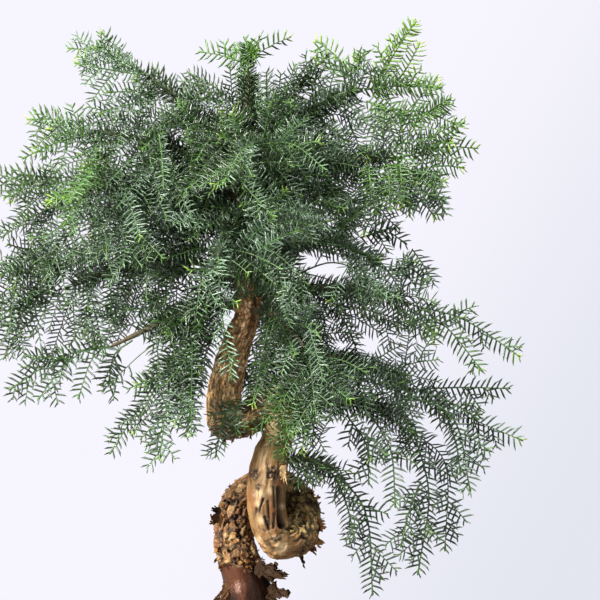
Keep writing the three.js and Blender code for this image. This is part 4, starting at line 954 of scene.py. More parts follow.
def off_line(points, start, end):
    """From the nearest place on a straight line to each point."""
    a, b = np.array(start, float), np.array(end, float)
    t = np.clip((points - a) @ (b - a) / ((b - a) @ (b - a)), 0, 1)
    return points - (a + t[:, None] * (b - a))


def bump_at(points, centre, radius):
    """1 at the centre, falling smoothly to 0 at the radius; depth counts for less."""
    d = np.linalg.norm((points - np.array(centre)) * [1, DEPTH_SHARE, 1], axis=1)
    return 1 - smooth(0, radius, d)


def line_at(points, start, end, width):
    """1 on a straight line, falling to 0 at its width; depth counts for less."""
    d = np.linalg.norm(off_line(points, start, end) * [1, DEPTH_SHARE, 1], axis=1)
    return 1 - smooth(0.35 * width, width, d)


def bark_relief(p, kind, straight):
    """Height above the plain tube, and the colour fields, for each point of the skin."""
    x, y, z = p.T
    coil, stem, bend, crown = (kind == k for k in range(4))
    root, limb = kind == 4, kind == 5
    ragged = 7 * (layered_noise(p / 9, 3) - 0.5)
    copper = coil * (1 - smooth(COPPER_TOP - 2, COPPER_TOP + 2, z + ragged)) * (y < 60)
    near = 1 - smooth(34, 66, np.hypot(x - FOOT_MIDDLE[0], y - FOOT_MIDDLE[1]) + 2.2 * ragged)
    copper = np.maximum(copper, root * near)
    ball = coil * smooth(8, 22, x) * smooth(180, 195, z)
    swirl = coil * (1 - smooth(218, 228, z + 0.35 * (x - 14))) * smooth(-4, 4, 14 - y) * smooth(0, 6, x + 6)
    swirl = swirl * (1 - smooth(30, 42, x)) * (z > 190)
    smooth_wood = np.clip(stem + swirl, 0, 1) * (1 - limb)
    scaly = np.clip(bend + crown, 0, 1)
    rough = np.clip(1 - copper - smooth_wood - scaly - limb, 0, 1)

    warp = 0.55 * layered_noise(p / 6, 21)[:, None]
    plate, edge, shade = cells(straight / np.array([8.5, 8.5, 13]) + warp, 5)
    small, small_edge, small_shade = cells(p / 3.0 + warp, 6)
    seam = 1 - smooth(0.02, 0.22, edge - plate)
    small_seam = 1 - smooth(0.05, 0.3, small_edge - small)
    lip = smooth(0.05, 0.2, edge - plate) * (1 - smooth(0.2, 0.5, edge - plate))
    swell = layered_noise(p / 16, 8)
    pits = smooth(0.64, 0.72, layered_noise(p / 8, 55)) * rough * ~root
    crust = smooth(0.69, 0.75, layered_noise(p / 11, 9)) * rough
    for centre, radius in CRUSTS:
        crust = np.maximum(crust, smooth(0.1, 0.4, bump_at(p, centre, radius)) * rough)
    grain = layered_noise(straight / np.array([1.8, 1.8, 16]), 31)
    ridge = layered_noise(straight / np.array([5, 5, 36]), 33)
    fold = layered_noise(straight / np.array([11, 11, 70]), 36)
    dent = layered_noise(p / np.array([8, 8, 13]), 34)
    scale, scale_edge, scale_shade = cells(straight / np.array([3.4, 3.4, 8.5]) + 0.4 * grain[:, None], 41)
    scale_seam = 1 - smooth(0.03, 0.28, scale_edge - scale)

    plates = 1.9 * (shade - 0.4) * (1 - seam) + 0.9 * lip - 1.5 * seam
    plates += 0.45 * (small_shade - 0.5) * (1 - small_seam) - 0.35 * small_seam + 0.5 * (grain - 0.5)
    height = rough * (1 - crust) * plates * (1 - 0.5 * root) - 2.6 * pits
    height += (rough * 4.5 * (swell - 0.5) * (1 - 0.3 * root)
               + root * (2.6 * (ridge - 0.5) + 1.2 * (grain - 0.5)))
    height += crust * (2.6 * (small_shade - 0.5) + 0.8 * (1 - small))
    height += smooth_wood * (3.6 * (ridge - 0.5) + 4.5 * (fold - 0.5) + 0.8 * (grain - 0.5)
                             + 3.2 * (dent - 0.5))
    height += copper * (1.6 * (layered_noise(p / 22, 12) - 0.5))
    foot = 1 - smooth(70, 108, z)
    height += coil * foot * (2.5 + 9 * (layered_noise(p / np.array([9, 9, 60]), 13) - 0.4))
    height += scaly * (1.3 * (scale_shade - 0.4) * (1 - scale_seam) - 0.8 * scale_seam + 1.2 * (ridge - 0.5))
    height += limb * (0.8 * (layered_noise(straight / np.array([3, 3, 8]), 51) - 0.45))
    height -= 4.0 * bump_at(p, *NECK_HOLLOW) * stem

    # Dark seams between the plates, and painted shade in the pits
    dark = rough * (1 - crust) * np.maximum(0.95 * seam, 0.45 * small_seam) + 0.9 * pits
    dark += crust * (1 - smooth(0.35, 0.55, small_shade))
    dark += scaly * 0.8 * scale_seam
    dark += smooth_wood * 0.7 * smooth(0.64, 0.74, grain) * smooth(0.45, 0.6, dent)
    # Painted shade in the dips of the smooth wood
    dark += smooth_wood * 0.55 * smooth(0.56, 0.7, 1 - 0.5 * ridge - 0.5 * dent)
    front = y < -20
    # Each groove is carved, and painted shade darkens it
    for start, end, width, depth, tone in GROOVES:
        near = line_at(p, start, end, width) * front
        height -= depth * near
        dark += tone * near
    dark += (coil | root) * foot * 0.8 * smooth(0.5, 0.68, layered_noise(p / np.array([4, 4, 26]), 14))
    dark += root * 0.6 * smooth(0.52, 0.7, 1 - ridge)
    knot_cell, knot_edge, knot_shade = cells(p / 2.7, 61)
    crevice = 1 - smooth(0.06, 0.34, knot_edge - knot_cell)
    knots = np.zeros(len(p))
    for centre, radius, lift in KNOTS:
        near = smooth(0.12, 0.5, bump_at(p, centre, radius))
        height += lift * near * (0.3 + 1.1 * knot_shade - 0.7 * crevice)
        knots = np.maximum(knots, near)
    dark += knots * np.maximum(crevice, 0.85 * (1 - smooth(0.3, 0.45, knot_shade)))
    shag = bend * smooth(0.1, 0.7, -(p[:, 2] - 336) / 18)
    height += shag * 3.0 * (layered_noise(p / np.array([2.5, 4, 9]), 71) - 0.35)
    # The bend is darker towards its shaggy underside, and painted shade lies on its inner side
    dark += 0.7 * shag + 0.9 * bend * smooth(0.0, 0.7, bump_at(p, *BEND_PAINTED_SHADE))

    angle = np.arctan2(z - SWIRL_CENTRE[1], x - SWIRL_CENTRE[0])
    reach = np.hypot(x - SWIRL_CENTRE[0], z - SWIRL_CENTRE[1])
    turned_grain = layered_noise(np.stack([reach / 2.2, angle * 2.2, y / 30], axis=1), 35)
    tone = np.clip(0.45 * shade + 0.2 * grain + 0.35 * swell, 0, 1)
    tone = np.where(crust > 0.5, 0.15 + 0.6 * small_shade, tone)
    # The smooth wood's tone: its grain, with painted light on ridges and bumps and painted shade in dips
    wood_grain_light_and_shade = 0.3 * grain + 0.3 * ridge + 0.4 * dent
    wood_grain_light_and_shade = wood_grain_light_and_shade * (1 - swirl) + (0.65 * turned_grain + 0.35 * dent) * swirl
    tone = np.where(smooth_wood > 0.5, wood_grain_light_and_shade, tone)
    tone = np.where(scaly > 0.5, 0.5 * scale_shade + 0.2 * grain + 0.3 * swell, tone)
    height += swirl * 1.6 * (turned_grain - 0.5)
    return height, dict(copper=copper, ball=ball, wood=smooth_wood, scaly=scaly, limb=limb * 1.0,
                        root=root * 1.0, rough=rough, dark=np.clip(dark, 0, 1), tone=tone, crust=crust,
                        knots=knots)


def bark_colour(p, f):
    """Linear colour for each point, from its zone."""
    tone = f["tone"]
    rough = mixed(mixed(BARK_BROWN, BARK_OCHRE, smooth(0.18, 0.42, tone)), BARK_PALE, smooth(0.5, 0.7, tone))
    green = mixed(BALL_DARK, BALL_OCHRE, smooth(0.3, 0.6, tone))
    rust = smooth(0.5, 0.6, layered_noise(p / 13, 81))
    rough = mixed(rough, BARK_RUST, 0.45 * rust * (1 - f["ball"]) * (1 - f["crust"]))
    rough = mixed(rough, green, 0.85 * f["ball"] * smooth(205, 225, p[:, 2]))
    rough = mixed(rough, BARK_OCHRE, 0.35 * (1 - smooth(200, 225, p[:, 2])) * f["ball"])
    wood = mixed(mixed(WOOD_DARK, WOOD_GOLD, smooth(0.3, 0.5, tone)), WOOD_PALE, smooth(0.55, 0.72, tone))
    wood = mixed(wood, WOOD_ORANGE, 0.8 * smooth(0.54, 0.64, layered_noise(p / np.array([7, 7, 16]), 82)))
    wood = mixed(wood, WOOD_OLIVE, 0.75 * smooth(284, 296, p[:, 2]))
    # Peeled patches, and cream painted highlights
    for centre, radius, colour in PATCHES:
        wood = mixed(wood, colour, 0.9 * bump_at(p, centre, radius))
    wood = mixed(wood, mixed(KNOT_DARK, KNOT_PALE, tone), 0.9 * f["knots"])
    scaly = mixed(mixed(SCALE_DARK, SCALE_TAN, smooth(0.25, 0.5, tone)), SCALE_PALE, smooth(0.58, 0.78, tone))
    scaly = mixed(scaly, SCALE_RED, 0.8 * smooth(372, 420, p[:, 2]) * (1 - 0.5 * tone))
    lively_and_shaded = smooth(0.3, 0.62, layered_noise(p / np.array([7, 7, 30]), 83))
    # Painted shade over the copper's right side
    lively_and_shaded = lively_and_shaded * (1 - 0.85 * smooth(-18, -7, p[:, 0]))
    copper = mixed(COPPER_DARK, COPPER, lively_and_shaded)
    young = mixed(LIMB_DARK, LIMB_BROWN, tone)
    colour = rough
    for value, share in ((wood, f["wood"]), (scaly, f["scaly"]), (copper, f["copper"]), (young, f["limb"]),
                         (young, 0.6 * f["root"] * (1 - f["copper"]))):
        colour = mixed(colour, value, share)
    colour = mixed(colour, TOP_GREEN, 0.9 * smooth(452, 500, p[:, 2]))
    # Dark seams, crevices and cracks, and the painted shade in pits, grooves, dips and the bend
    return mixed(colour, DARK_SEAM_AND_SHADE, 0.94 * f["dark"])


def build_wood(material):
    """The bark of the lower trunk, and of the upper trunk and limbs; returns what the loose bark grows on."""
    lower, neck, upper = wood_tubes()
    grown = []
    for name, tubes, voxel in (("limb_bark", upper, UPPER_VOXEL), ("neck_bark", neck, NECK_VOXEL),
                               ("trunk_bark", lower, LOWER_VOXEL)):
        points, normals, quads = remeshed(tubes, voxel)
        kind, straight = matched(points, tubes)
        height, fields = bark_relief(points, kind, straight)
        wood = fields["wood"] * (1 - fields["dark"]) * (1 - fields["knots"])
        gloss = np.stack([fields["copper"], wood, np.clip(fields["dark"] + fields["rough"], 0, 1)], axis=1)
        scales = np.stack([fields["scaly"], fields["rough"], fields["dark"]], axis=1)
        bark = new_mesh(name, points + normals * height[:, None], quads, [material],
                        fields={"colour": bark_colour(points, fields), "gloss": gloss, "scales": scales,
                                "grain": straight * MM})
        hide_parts("trunk")
        if tubes is not upper:
            grown.append((points, normals, fields))
    points, normals = (np.vstack([part[k] for part in grown]) for k in (0, 1))
    return points, normals, {key: np.concatenate([part[2][key] for part in grown]) for key in grown[0][2]}


# Loose bark: curled sheets with ragged edges
def wavy(u, seed):
    """Values from 0 to 1 that wander along u, with deep notches and a ragged edge."""
    p = np.stack([u, np.full_like(u, 0.37), np.full_like(u, 0.71)], axis=-1)
    notch = smooth(0.6, 0.8, value_noise(p * 7, seed + 2))
    ragged = np.random.default_rng(seed).uniform(-0.07, 0.07, u.shape)
    broad, fine = value_noise(p * 2.5, seed), value_noise(p * 11, seed + 1)
    return np.clip(0.65 * broad + 0.35 * fine + ragged - 0.5 * notch, 0, 1)


def curled_sheet(start, out, along, length, width, curl, seed, crumple):
    """A sheet that starts flat on the bark, stands off along out and curls up at its free end."""
    out, along = unit(out), unit(along)
    across = unit(np.cross(along, out))
    rows, cols = max(4, round(length / 0.9)), max(4, round(width / 0.9))
    u, v = np.meshgrid(np.linspace(0, 1, rows + 1), np.linspace(-1, 1, cols + 1), indexing="ij")
    reach_end = 0.5 + 0.7 * wavy(v[0], seed)
    left, right = 0.35 + wavy(u[:, 0], seed + 3), 0.35 + wavy(u[:, 0], seed + 5)
    half = 0.5 * width * np.where(v < 0, left[:, None], right[:, None])
    u = u * reach_end[None]
    bend = curl * u
    reach = length * (np.sin(bend) / curl)
    rise = length * ((1 - np.cos(bend)) / curl)
    cup = 0.16 * width * v ** 2 * u
    points = (np.array(start) + along * reach[..., None] + out * (rise + cup)[..., None]
              + across * (v * half)[..., None])
    wave = layered_noise(points / 5, seed + 7) - 0.5
    points += out * (crumple * 9 * wave * np.minimum(1, 3 * u))[..., None]
    ids = np.arange(points.size // 3).reshape(rows + 1, cols + 1)
    faces = np.stack([ids[:-1, :-1], ids[1:, :-1], ids[1:, 1:], ids[:-1, 1:]], axis=-1).reshape(-1, 4)
    return points.reshape(-1, 3), faces.astype(np.int32)


def build_flakes(material, points, normals, fields):
    rng = np.random.default_rng(11)
    sheets, colours = [], []

    def add(colour, *sheet):
        sheets.append(curled_sheet(*sheet))
        colours.append(np.array(colour) * rng.uniform(0.7, 1.15, (len(sheets[-1][0]), 1)))

    for k, (start, out, along, length, width, curl, colour) in enumerate(SHEETS):
        add(colour, start, out, along, length, width, curl, 200 + 9 * k, SHEET_CRUMPLE)
    weight = fields["rough"] * (0.4 + fields["dark"]) * (points[:, 2] > 90)
    edge_ring = np.exp(-((points[:, 2] - COPPER_TOP) / 5) ** 2) * (fields["copper"] + fields["rough"])
    shag = fields["scaly"] * np.clip((345 - points[:, 2]) / 25, 0, 1) * np.clip(-normals[:, 2], 0, 1)
    chance = weight + 5 * edge_ring + 2.5 * shag
    picks = rng.choice(len(points), LOOSE_FLAKES, p=chance / chance.sum())
    for k, i in enumerate(picks):
        n = normals[i]
        along = unit(np.cross(n, unit(rng.normal(0, 1, 3))) + n * rng.uniform(0.0, 0.7))
        size = rng.uniform(2.5, 7.0)
        colour = (BARK_OCHRE, BARK_BROWN, FLAKE_DARK)[rng.integers(3)]
        width, curl = size * rng.uniform(0.5, 0.9), rng.uniform(0.5, 1.7)
        add(colour, points[i] - n * 0.4, n, along, size, width, curl, 500 + 9 * k, FLAKE_CRUMPLE)
    obj = new_mesh("bark_flakes", *joined(sheets), [material], fields={"colour": np.vstack(colours)})
    thick = obj.modifiers.new("thickness", "SOLIDIFY")
    thick.thickness = 0.45 * MM
    thick.offset = 0


# Needles and green stems
def stem_arrays(line):
    strand = line.strand
    count = max(2, round(strand.length / 8))
    s = strand.length * np.arange(count + 1) / count
    centre, t = strand.pos(s), strand.tan(s)
    side = side_vectors(t, line.roll)
    up = np.cross(t, side)
    r = (line.radius[0] + (line.radius[1] - line.radius[0]) * s / strand.length)[:, None]
    bud = BUD_RADIUS[0 if line.main else 1]
    r[-1] = bud
    corners = (0, math.pi / 2, math.pi, 1.5 * math.pi)
    ring = [centre + r * (math.cos(a) * side + math.sin(a) * up) for a in corners]
    vertices = np.stack(ring, axis=1).reshape(-1, 3)
    faces = []
    for j in range(count):
        faces += band(4 * j, 4)
    tip = len(vertices)
    vertices = np.vstack([vertices, centre[-1] + t[-1] * 1.6 * bud])
    for k in range(4):
        faces.append((4 * count + k, 4 * count + (k + 1) % 4, tip))
    young = np.append(np.repeat(np.clip(line.fresh + 0.5 * (s / strand.length) ** 3, 0, 1), 4), 1)
    look = np.stack([np.full(len(vertices), 0.5), young, np.zeros(len(vertices))], axis=1)
    return vertices, np.array(faces, np.int32), look


def needle_arrays(line, rng):
    """Needles in two even rows along a stem, or all round an older limb."""
    strand = line.strand
    count = max(4, int((strand.length - line.start) * line.density))
    k = np.arange(count)
    s = line.start + (k + 0.5 + rng.uniform(-0.16, 0.16, count)) / count * (strand.length - line.start + 0.5)
    t = strand.tan(s)
    side = side_vectors(t, line.roll)
    face = np.cross(t, side)
    if face.mean(axis=0) @ np.array(LIGHT_SIDE) < 0:
        face = -face
    if line.wood:
        turn = k * GOLDEN_ANGLE + rng.uniform(0, FULL_TURN)
    else:
        lift = np.array(NEEDLE_LIFT_DEG)[(k // 2) % len(NEEDLE_LIFT_DEG)]
        lift = np.radians(lift + rng.normal(0, 5, count))
        turn = np.where(k % 2 == 0, lift, math.pi - lift)
    out = np.cos(turn)[:, None] * side + np.sin(turn)[:, None] * face
    end = strand.length - s
    near_end = 0.0 if line.wood else 1 - smooth(1, 9, end)
    size = line.longer * NEEDLE_LENGTH * rng.uniform(0.88, 1.1, count) * (1 - 0.5 * near_end)
    size = size * (0.65 + 0.35 * smooth(0, 6, s))
    first, last = (leaning(t, out, lean - less * near_end + rng.normal(0, 3, count))
                   for lean, less in zip(NEEDLE_LEAN_DEG, (30, 24)))
    stem = line.radius[0] + (line.radius[1] - line.radius[0]) * s / strand.length
    base = strand.pos(s) + out * (0.8 * stem - 0.1)[:, None]
    middle = base + first * (0.62 * size)[:, None]
    tip = middle + last * (0.38 * size)[:, None]
    deep = unit(np.cross(t, out))
    radius = (line.wider * NEEDLE_RADIUS * (1 - 0.25 * near_end) * np.ones(count))[:, None]
    rings = []
    for place, heading, scale in ((base, first, 0.85), (middle, unit(first + last), 1.0)):
        wide = np.cross(deep, heading)
        for a in (math.pi / 2, math.pi * 7 / 6, math.pi * 11 / 6):
            rings.append(place + radius * scale * (math.cos(a) * wide + 0.6 * math.sin(a) * deep))
    keep = in_box(tip, NEEDLE_MARGIN)
    if not line.exempt:
        keep &= ~(bare_place(base) | in_gap(base, CLEARED))
    vertices = np.stack(rings + [tip], axis=1)[keep].reshape(-1, 3)
    kept = int(keep.sum())
    faces = (np.arange(kept)[:, None, None] * 7 + np.array(NEEDLE_FACES)[None]).reshape(-1, 3)
    tone, young = needle_look(line, base, end, rng)
    # A painted highlight on each needle's upper edge, painted shade on its under side
    tones = np.clip(tone[keep, None] + np.array(NEEDLE_EDGE_LIGHT_AND_SHADE), 0, 1)
    look = np.stack([tones.ravel(), np.repeat(young[keep], 7), np.tile(NEEDLE_ALONG, kept)], axis=1)
    return vertices, faces.astype(np.int32), look


def leaning(along, out, degrees):
    lean = np.radians(degrees)[:, None]
    return np.cos(lean) * along + np.sin(lean) * out


def needle_look(line, base, end, rng):
    """How light and how young each needle is."""
    # Painted shade deep in the foliage
    inner = 1 - smooth(*INNER_REACH, np.hypot(base[:, 0] - INNER_X, 1.2 * base[:, 1]))
    # Painted shade on the needles at the left
    left = 1 - smooth(*LEFT_SIDE, base[:, 0])
    tone = line.tone + line.shade - INNER_SHADE * inner - LEFT_SHADE * left + rng.normal(0, 0.12, len(base))
    # Painted shade in broad places of the foliage, and painted light where the depth is below 0
    for x, z, reach, depth in PAINTED_SHADE_AND_LIGHT:
        tone -= depth * (1 - smooth(0.4 * reach, reach, np.hypot(base[:, 0] - x, base[:, 2] - z)))
    young = line.fresh + line.tip * (1 - smooth(2, 10, end)) + rng.normal(0, 0.04, len(base))
    return tone, np.clip(young, 0, 1)


def bare_place(points):
    """True for points in front of the stretches of trunk that the foliage leaves open."""
    flat = points[:, [0, 2]]
    near = [np.linalg.norm(off_line(flat, start, end), axis=1) < width for start, end, width in BARE]
    return np.any(near, axis=0) & (points[:, 1] < 0)


def in_box(points, margin):
    """True for points inside the frame's box with a margin round it."""
    low = (np.array(CAD_BOX[0]) - ORIGIN) / MM - margin
    high = (np.array(CAD_BOX[1]) - ORIGIN) / MM + margin
    return np.all((points > low) & (points < high), axis=1)


def in_gap(points, gaps):
    """True for points in front of or behind the gaps that show the air."""
    flat = points[:, [0, 2]]
    return np.any([np.linalg.norm(flat - [x, z], axis=1) < reach for x, z, reach in gaps], axis=0)


def allowed(line):
    """A stem that would leave the frame's box, or cross the open trunk or a gap, is left out."""
    if line.wood or line.exempt:
        return True
    points = line.strand.points
    if not np.all(in_box(points, 0)) or (not line.main and np.any(in_gap(points, GAPS))):
        return False
    return not np.any(bare_place(points))


def grown_spray(index, row):
    """All the stems of one spray: the frame's own lines, every side shoot, and further fronds."""
    name, _, axis, side, roll, droop, forks = row
    fresh = FRESH.get(name, FRESH_PLAIN)
    key = index * 7 + 1
    strand = Strand(axis)
    twins = OPEN_TWINS if name in OPEN_SPRAYS else TWINS
    lines = feathered(strand, side, roll, droop, key, fresh, twins=twins)
    for k, (s, mid, tip, fork_side, fork_roll) in enumerate(forks):
        fork = Strand([strand.pos(s + FORK_LEAD), mid, tip])
        lines += feathered(fork, fork_side, fork_roll, droop, key + k + 1, fresh, 1.2, SHOOT_RADIUS, twins)
    companions = OPEN_COMPANIONS if name in OPEN_SPRAYS else COMPANIONS
    companions = [] if name in BARE_SPRAYS else companions
    for k, (share, yaw, pitch, length) in enumerate(companions):
        jitter = [noise_of(k + 3, key + 40 + n) - 0.5 for n in range(3)]
        twin = companion(strand, share * strand.length, yaw + 16 * jitter[0], pitch + 24 * jitter[1],
                         strand.length * (length + 0.3 * jitter[2]), roll, droop + 0.15)
        lines += feathered(twin, side * COMPANION_SIDE, roll + 20 * jitter[1], droop, key + 50 + k, fresh,
                           0.9, SHOOT_RADIUS, twins)
    for line in lines:
        line.exempt = name in OVER_TRUNK
        if name in OPEN_SPRAYS:
            line.density, line.longer, line.wider = OPEN_NEEDLES_PER_MM, OPEN_LONGER, OPEN_WIDER
    return lines


def fill_frond(strand, roll, key, fresh):
    """A short frond inside the foliage."""
    return feathered(strand, FILL_SIDE, roll, FILL_DROOP, key, fresh, radius=SHOOT_RADIUS,
                     step=FILL_SHOOT_STEP)


def limb_fill(number, name):
    """Fronds along a limb, alternate to left and right, above and below, and needles on the limb itself."""
    points, thick, thin = LIMBS[name]
    strand = Strand(points)
    places = []
    s = strand.length * FILL_START
    k = 0
    while s < strand.length * 0.97:
        j = [noise_of(k + 1, number * 5 + n) for n in range(4)]
        yaw = (1 if k % 2 else -1) * (24 + 38 * j[0])
        pitch = (1 if (k // 2) % 2 else -1) * (6 + 34 * j[1])
        places.append((s, yaw, pitch, FILL_LENGTH * (0.75 + 0.5 * j[2]), 10 + 30 * j[3]))
        s += (OPEN_FILL_STEP if name in OPEN_LIMBS else FILL_STEP) * (0.8 + 0.4 * j[2])
        k += 1
    for k, share in enumerate(() if name in UNCOVERED_LIMBS else COVER_AT):
        turn = noise_of(k, number + 60) - 0.5
        places.append((share * strand.length, 24 * turn, 15, COVER_LENGTH, 15 + 20 * turn))
    lines = []
    for k, (s, yaw, pitch, length, roll) in enumerate(places):
        frond = companion(strand, s, yaw, pitch, length, roll, FILL_DROOP)
        fresh = FRESH_PLAIN * (0.4 + noise_of(k, 300 + number))
        lines += fill_frond(frond, roll, (300 + number) * 31 + k, fresh)
    return inner_lines(lines + [coat_of(strand, (thick, thin), COAT_START, COAT_DENSITY)])


def coat_of(strand, radius, start, density):
    """The needles all round a limb."""
    coat = Line(strand, 0, radius, FRESH_PLAIN, 0)
    coat.wood, coat.start, coat.density = True, strand.length * start, density
    return coat


def inner_lines(lines):
    """Lines that lie deep in the foliage, in its shade."""
    for line in lines:
        line.shade, line.main = FILL_SHADE, False
    return lines


def twig_lines():
    """Twigs round the upper trunk, which the needles hide, with a coat of needles and the leading shoot."""
    strand = Strand([r[:3] for r in CROWN])
    lines = []
    for k in range(TWIGS):
        j = [noise_of(k + 1, 900 + n) for n in range(4)]
        s = strand.length * (TWIG_START + (0.97 - TWIG_START) * (k + j[0]) / TWIGS)
        t = strand.tan(s)
        out = turned(unit(np.cross(t, [1.0, 0.3, 0.0])), t, 360 * ((k * GOLDEN_TURN) % 1) - 180)
        heading = unit(out + t * (0.35 + 0.01 * (20 * (j[1] - 0.5))))
        twig = drooping(strand.pos(s) + out * 2, heading, 50 + 30 * j[2], FILL_DROOP, 12)
        lines += fill_frond(twig, 10 + 40 * j[3], 700 + k, FRESH_PLAIN)
    leader = coat_of(Strand(LEADER), LEADER_RADIUS, 0, 1.6 * COAT_DENSITY)
    leader.longer = LEADER_NEEDLES
    coat = coat_of(strand, (CROWN[-6][3] * 1.2, CROWN[-1][3]), TWIG_START, 2.5 * COAT_DENSITY)
    return inner_lines(lines + [coat, leader])


def extra_lines(host):
    """Further fronds placed where the tree is dense."""
    lines = []
    for k, (name, axis, side, roll) in enumerate(EXTRA):
        if name == host:
            lines += feathered(Strand(axis), side, roll, 0.15, 1200 + k, FRESH.get(name, FRESH_PLAIN), 0.8)
    for line in lines:
        line.exempt = True
    return lines


def foliage_piece(name, lines, materials, seed):
    """The needles and green stems of one spray as one mesh, in place of the frame's spray."""
    rng = np.random.default_rng(seed)
    parts, looks, slots = [], [], []
    # Painted light on some sprays, painted shade on others
    spray_tone = rng.uniform(0.17, 0.4) + SPRAY_LIGHT_AND_SHADE.get(name, 0)
    for line in lines:
        line.tone = spray_tone + rng.normal(0, 0.12) + PALE_TONE * (rng.uniform() < PALE_FRONDS)
        made = [needle_arrays(line, rng)] + ([] if line.wood else [stem_arrays(line)])
        for slot, (vertices, faces, look) in enumerate(made):
            parts.append((vertices, faces))
            looks.append(look)
            slots.append(np.full(len(faces), slot))
    obj = new_mesh("needles_" + name, *joined(parts), materials, np.concatenate(slots),
                   {"look": np.vstack(looks)})
    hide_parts("spray_" + name)


def build_foliage(materials):
    fills = {name: limb_fill(k, name) for k, name in enumerate(LIMBS)}
    for index, row in enumerate(SPRAYS):
        lines = grown_spray(index, row) + fills.get(row[1], []) + extra_lines(row[0])
        if row[0] == "crown":
            lines += twig_lines()
        foliage_piece(row[0], [line for line in lines if allowed(line)], materials, index)


# Materials
class Nodes:
    """A small hand for node trees: each call adds a node and returns it or what it gives."""

    def __init__(self, tree):
        self.tree = tree

    def plug(self, socket, value):
        if isinstance(value, bpy.types.NodeSocket):
            self.tree.links.new(value, socket)
        else:
            socket.default_value = (*value, 1) if socket.type == "RGBA" else value

    def node(self, kind, inputs=None, **settings):
        made = self.tree.nodes.new(kind)
        for key, value in settings.items():
            setattr(made, key, value)
        for key, value in (inputs or {}).items():
            self.plug(made.inputs[key], value)
        return made

    def parts(self, vector):
        split = self.node("ShaderNodeSeparateXYZ", {"Vector": vector})
        return [split.outputs[k] for k in "XYZ"]

    def mix(self, a, b, factor):
        return self.node("ShaderNodeMix", {6: a, 7: b, 0: factor}, data_type="RGBA").outputs[2]

    def math(self, operation, a, b):
        return self.node("ShaderNodeMath", {0: a, 1: b}, operation=operation).outputs[0]

    def times(self, *values):
        product = values[0]
        for value in values[1:]:
            product = self.math("MULTIPLY", product, value)
        return product

    def scaled(self, colour, factor):
        return self.node("ShaderNodeVectorMath", {0: colour, "Scale": factor}, operation="SCALE").outputs[0]

    def ramp(self, value, low, high, out_low=0.0, out_high=1.0):
        inputs = {"Value": value, "From Min": low, "From Max": high, "To Min": out_low, "To Max": out_high}
        return self.node("ShaderNodeMapRange", inputs).outputs[0]


class Shader(Nodes):
    """The node tree of a new material, round its main shader."""

    def __init__(self, name):
        self.material = bpy.data.materials.new(name)
        self.material.use_nodes = True
        super().__init__(self.material.node_tree)
        self.main = self.tree.nodes["Principled BSDF"]

    def field(self, name):
        return self.node("ShaderNodeAttribute", attribute_name=name).outputs["Vector"]

    def drawn_out(self, name, share):
        """A field of places squeezed along its length, which draws a pattern out there."""
        inputs = {"Vector": self.field(name), "Scale": (1.0, 1.0, share)}
        return self.node("ShaderNodeMapping", inputs).outputs[0]

    def noise(self, scale, detail=3.0, place=None):
        if place is None:
            place = self.node("ShaderNodeTexCoord").outputs["Object"]
        inputs = {"Vector": place, "Scale": scale, "Detail": detail}
        return self.node("ShaderNodeTexNoise", inputs).outputs["Fac"]

    def flakes(self, place, scale, border, rims, shades):
        """Small cells with darker borders: a factor for the colour, and a height."""
        inputs = {"Vector": place, "Scale": scale}
        edge = self.node("ShaderNodeTexVoronoi", inputs, feature="DISTANCE_TO_EDGE")
        cell = self.node("ShaderNodeTexVoronoi", inputs).outputs["Color"]
        rim = self.ramp(edge.outputs["Distance"], 0.0, border, *rims)
        return self.times(rim, self.ramp(self.parts(cell)[0], 0.0, 1.0, *shades)), rim

    def finished(self, bump, **values):
        """The material, with its main shader's values and a bump of given height, strength and distance."""
        for key, value in values.items():
            self.plug(self.main.inputs[key.replace("_", " ")], value)
        made = self.node("ShaderNodeBump", dict(zip(("Height", "Strength", "Distance"), bump)))
        self.plug(self.main.inputs["Normal"], made.outputs[0])
        return self.material


def needle_material():
    m = Shader("needles")
    tone, young, along = m.parts(m.field("look"))
    colour = m.mix(NEEDLE_DARK, NEEDLE_BLOOM, tone)
    colour = m.mix(colour, NEEDLE_YOUNG, young)
    colour = m.mix(colour, NEEDLE_BUD, m.ramp(young, 0.42, 0.9, 0.0, 0.85))
    colour = m.mix(colour, NEEDLE_TIP, m.times(m.ramp(along, 0.75, 1.0), 0.35))
    colour = m.scaled(colour, m.ramp(m.noise(900.0), 0.3, 0.7, 0.8, 1.2))
    return m.finished((m.noise(2500.0, 2.0), 0.3, 0.0002), Base_Color=colour, Roughness=0.32,
                      Specular_IOR_Level=0.65)


def shoot_material():
    m = Shader("green_stems")
    colour = m.mix(STEM_OLD, STEM_YOUNG, m.parts(m.field("look"))[1])
    colour = m.mix(colour, STEM_BROWN, m.ramp(m.noise(260.0), 0.62, 0.75, 0.0, 0.6))
    return m.finished((m.noise(1500.0, 2.0), 0.4, 0.0003), Base_Color=colour, Roughness=0.45)


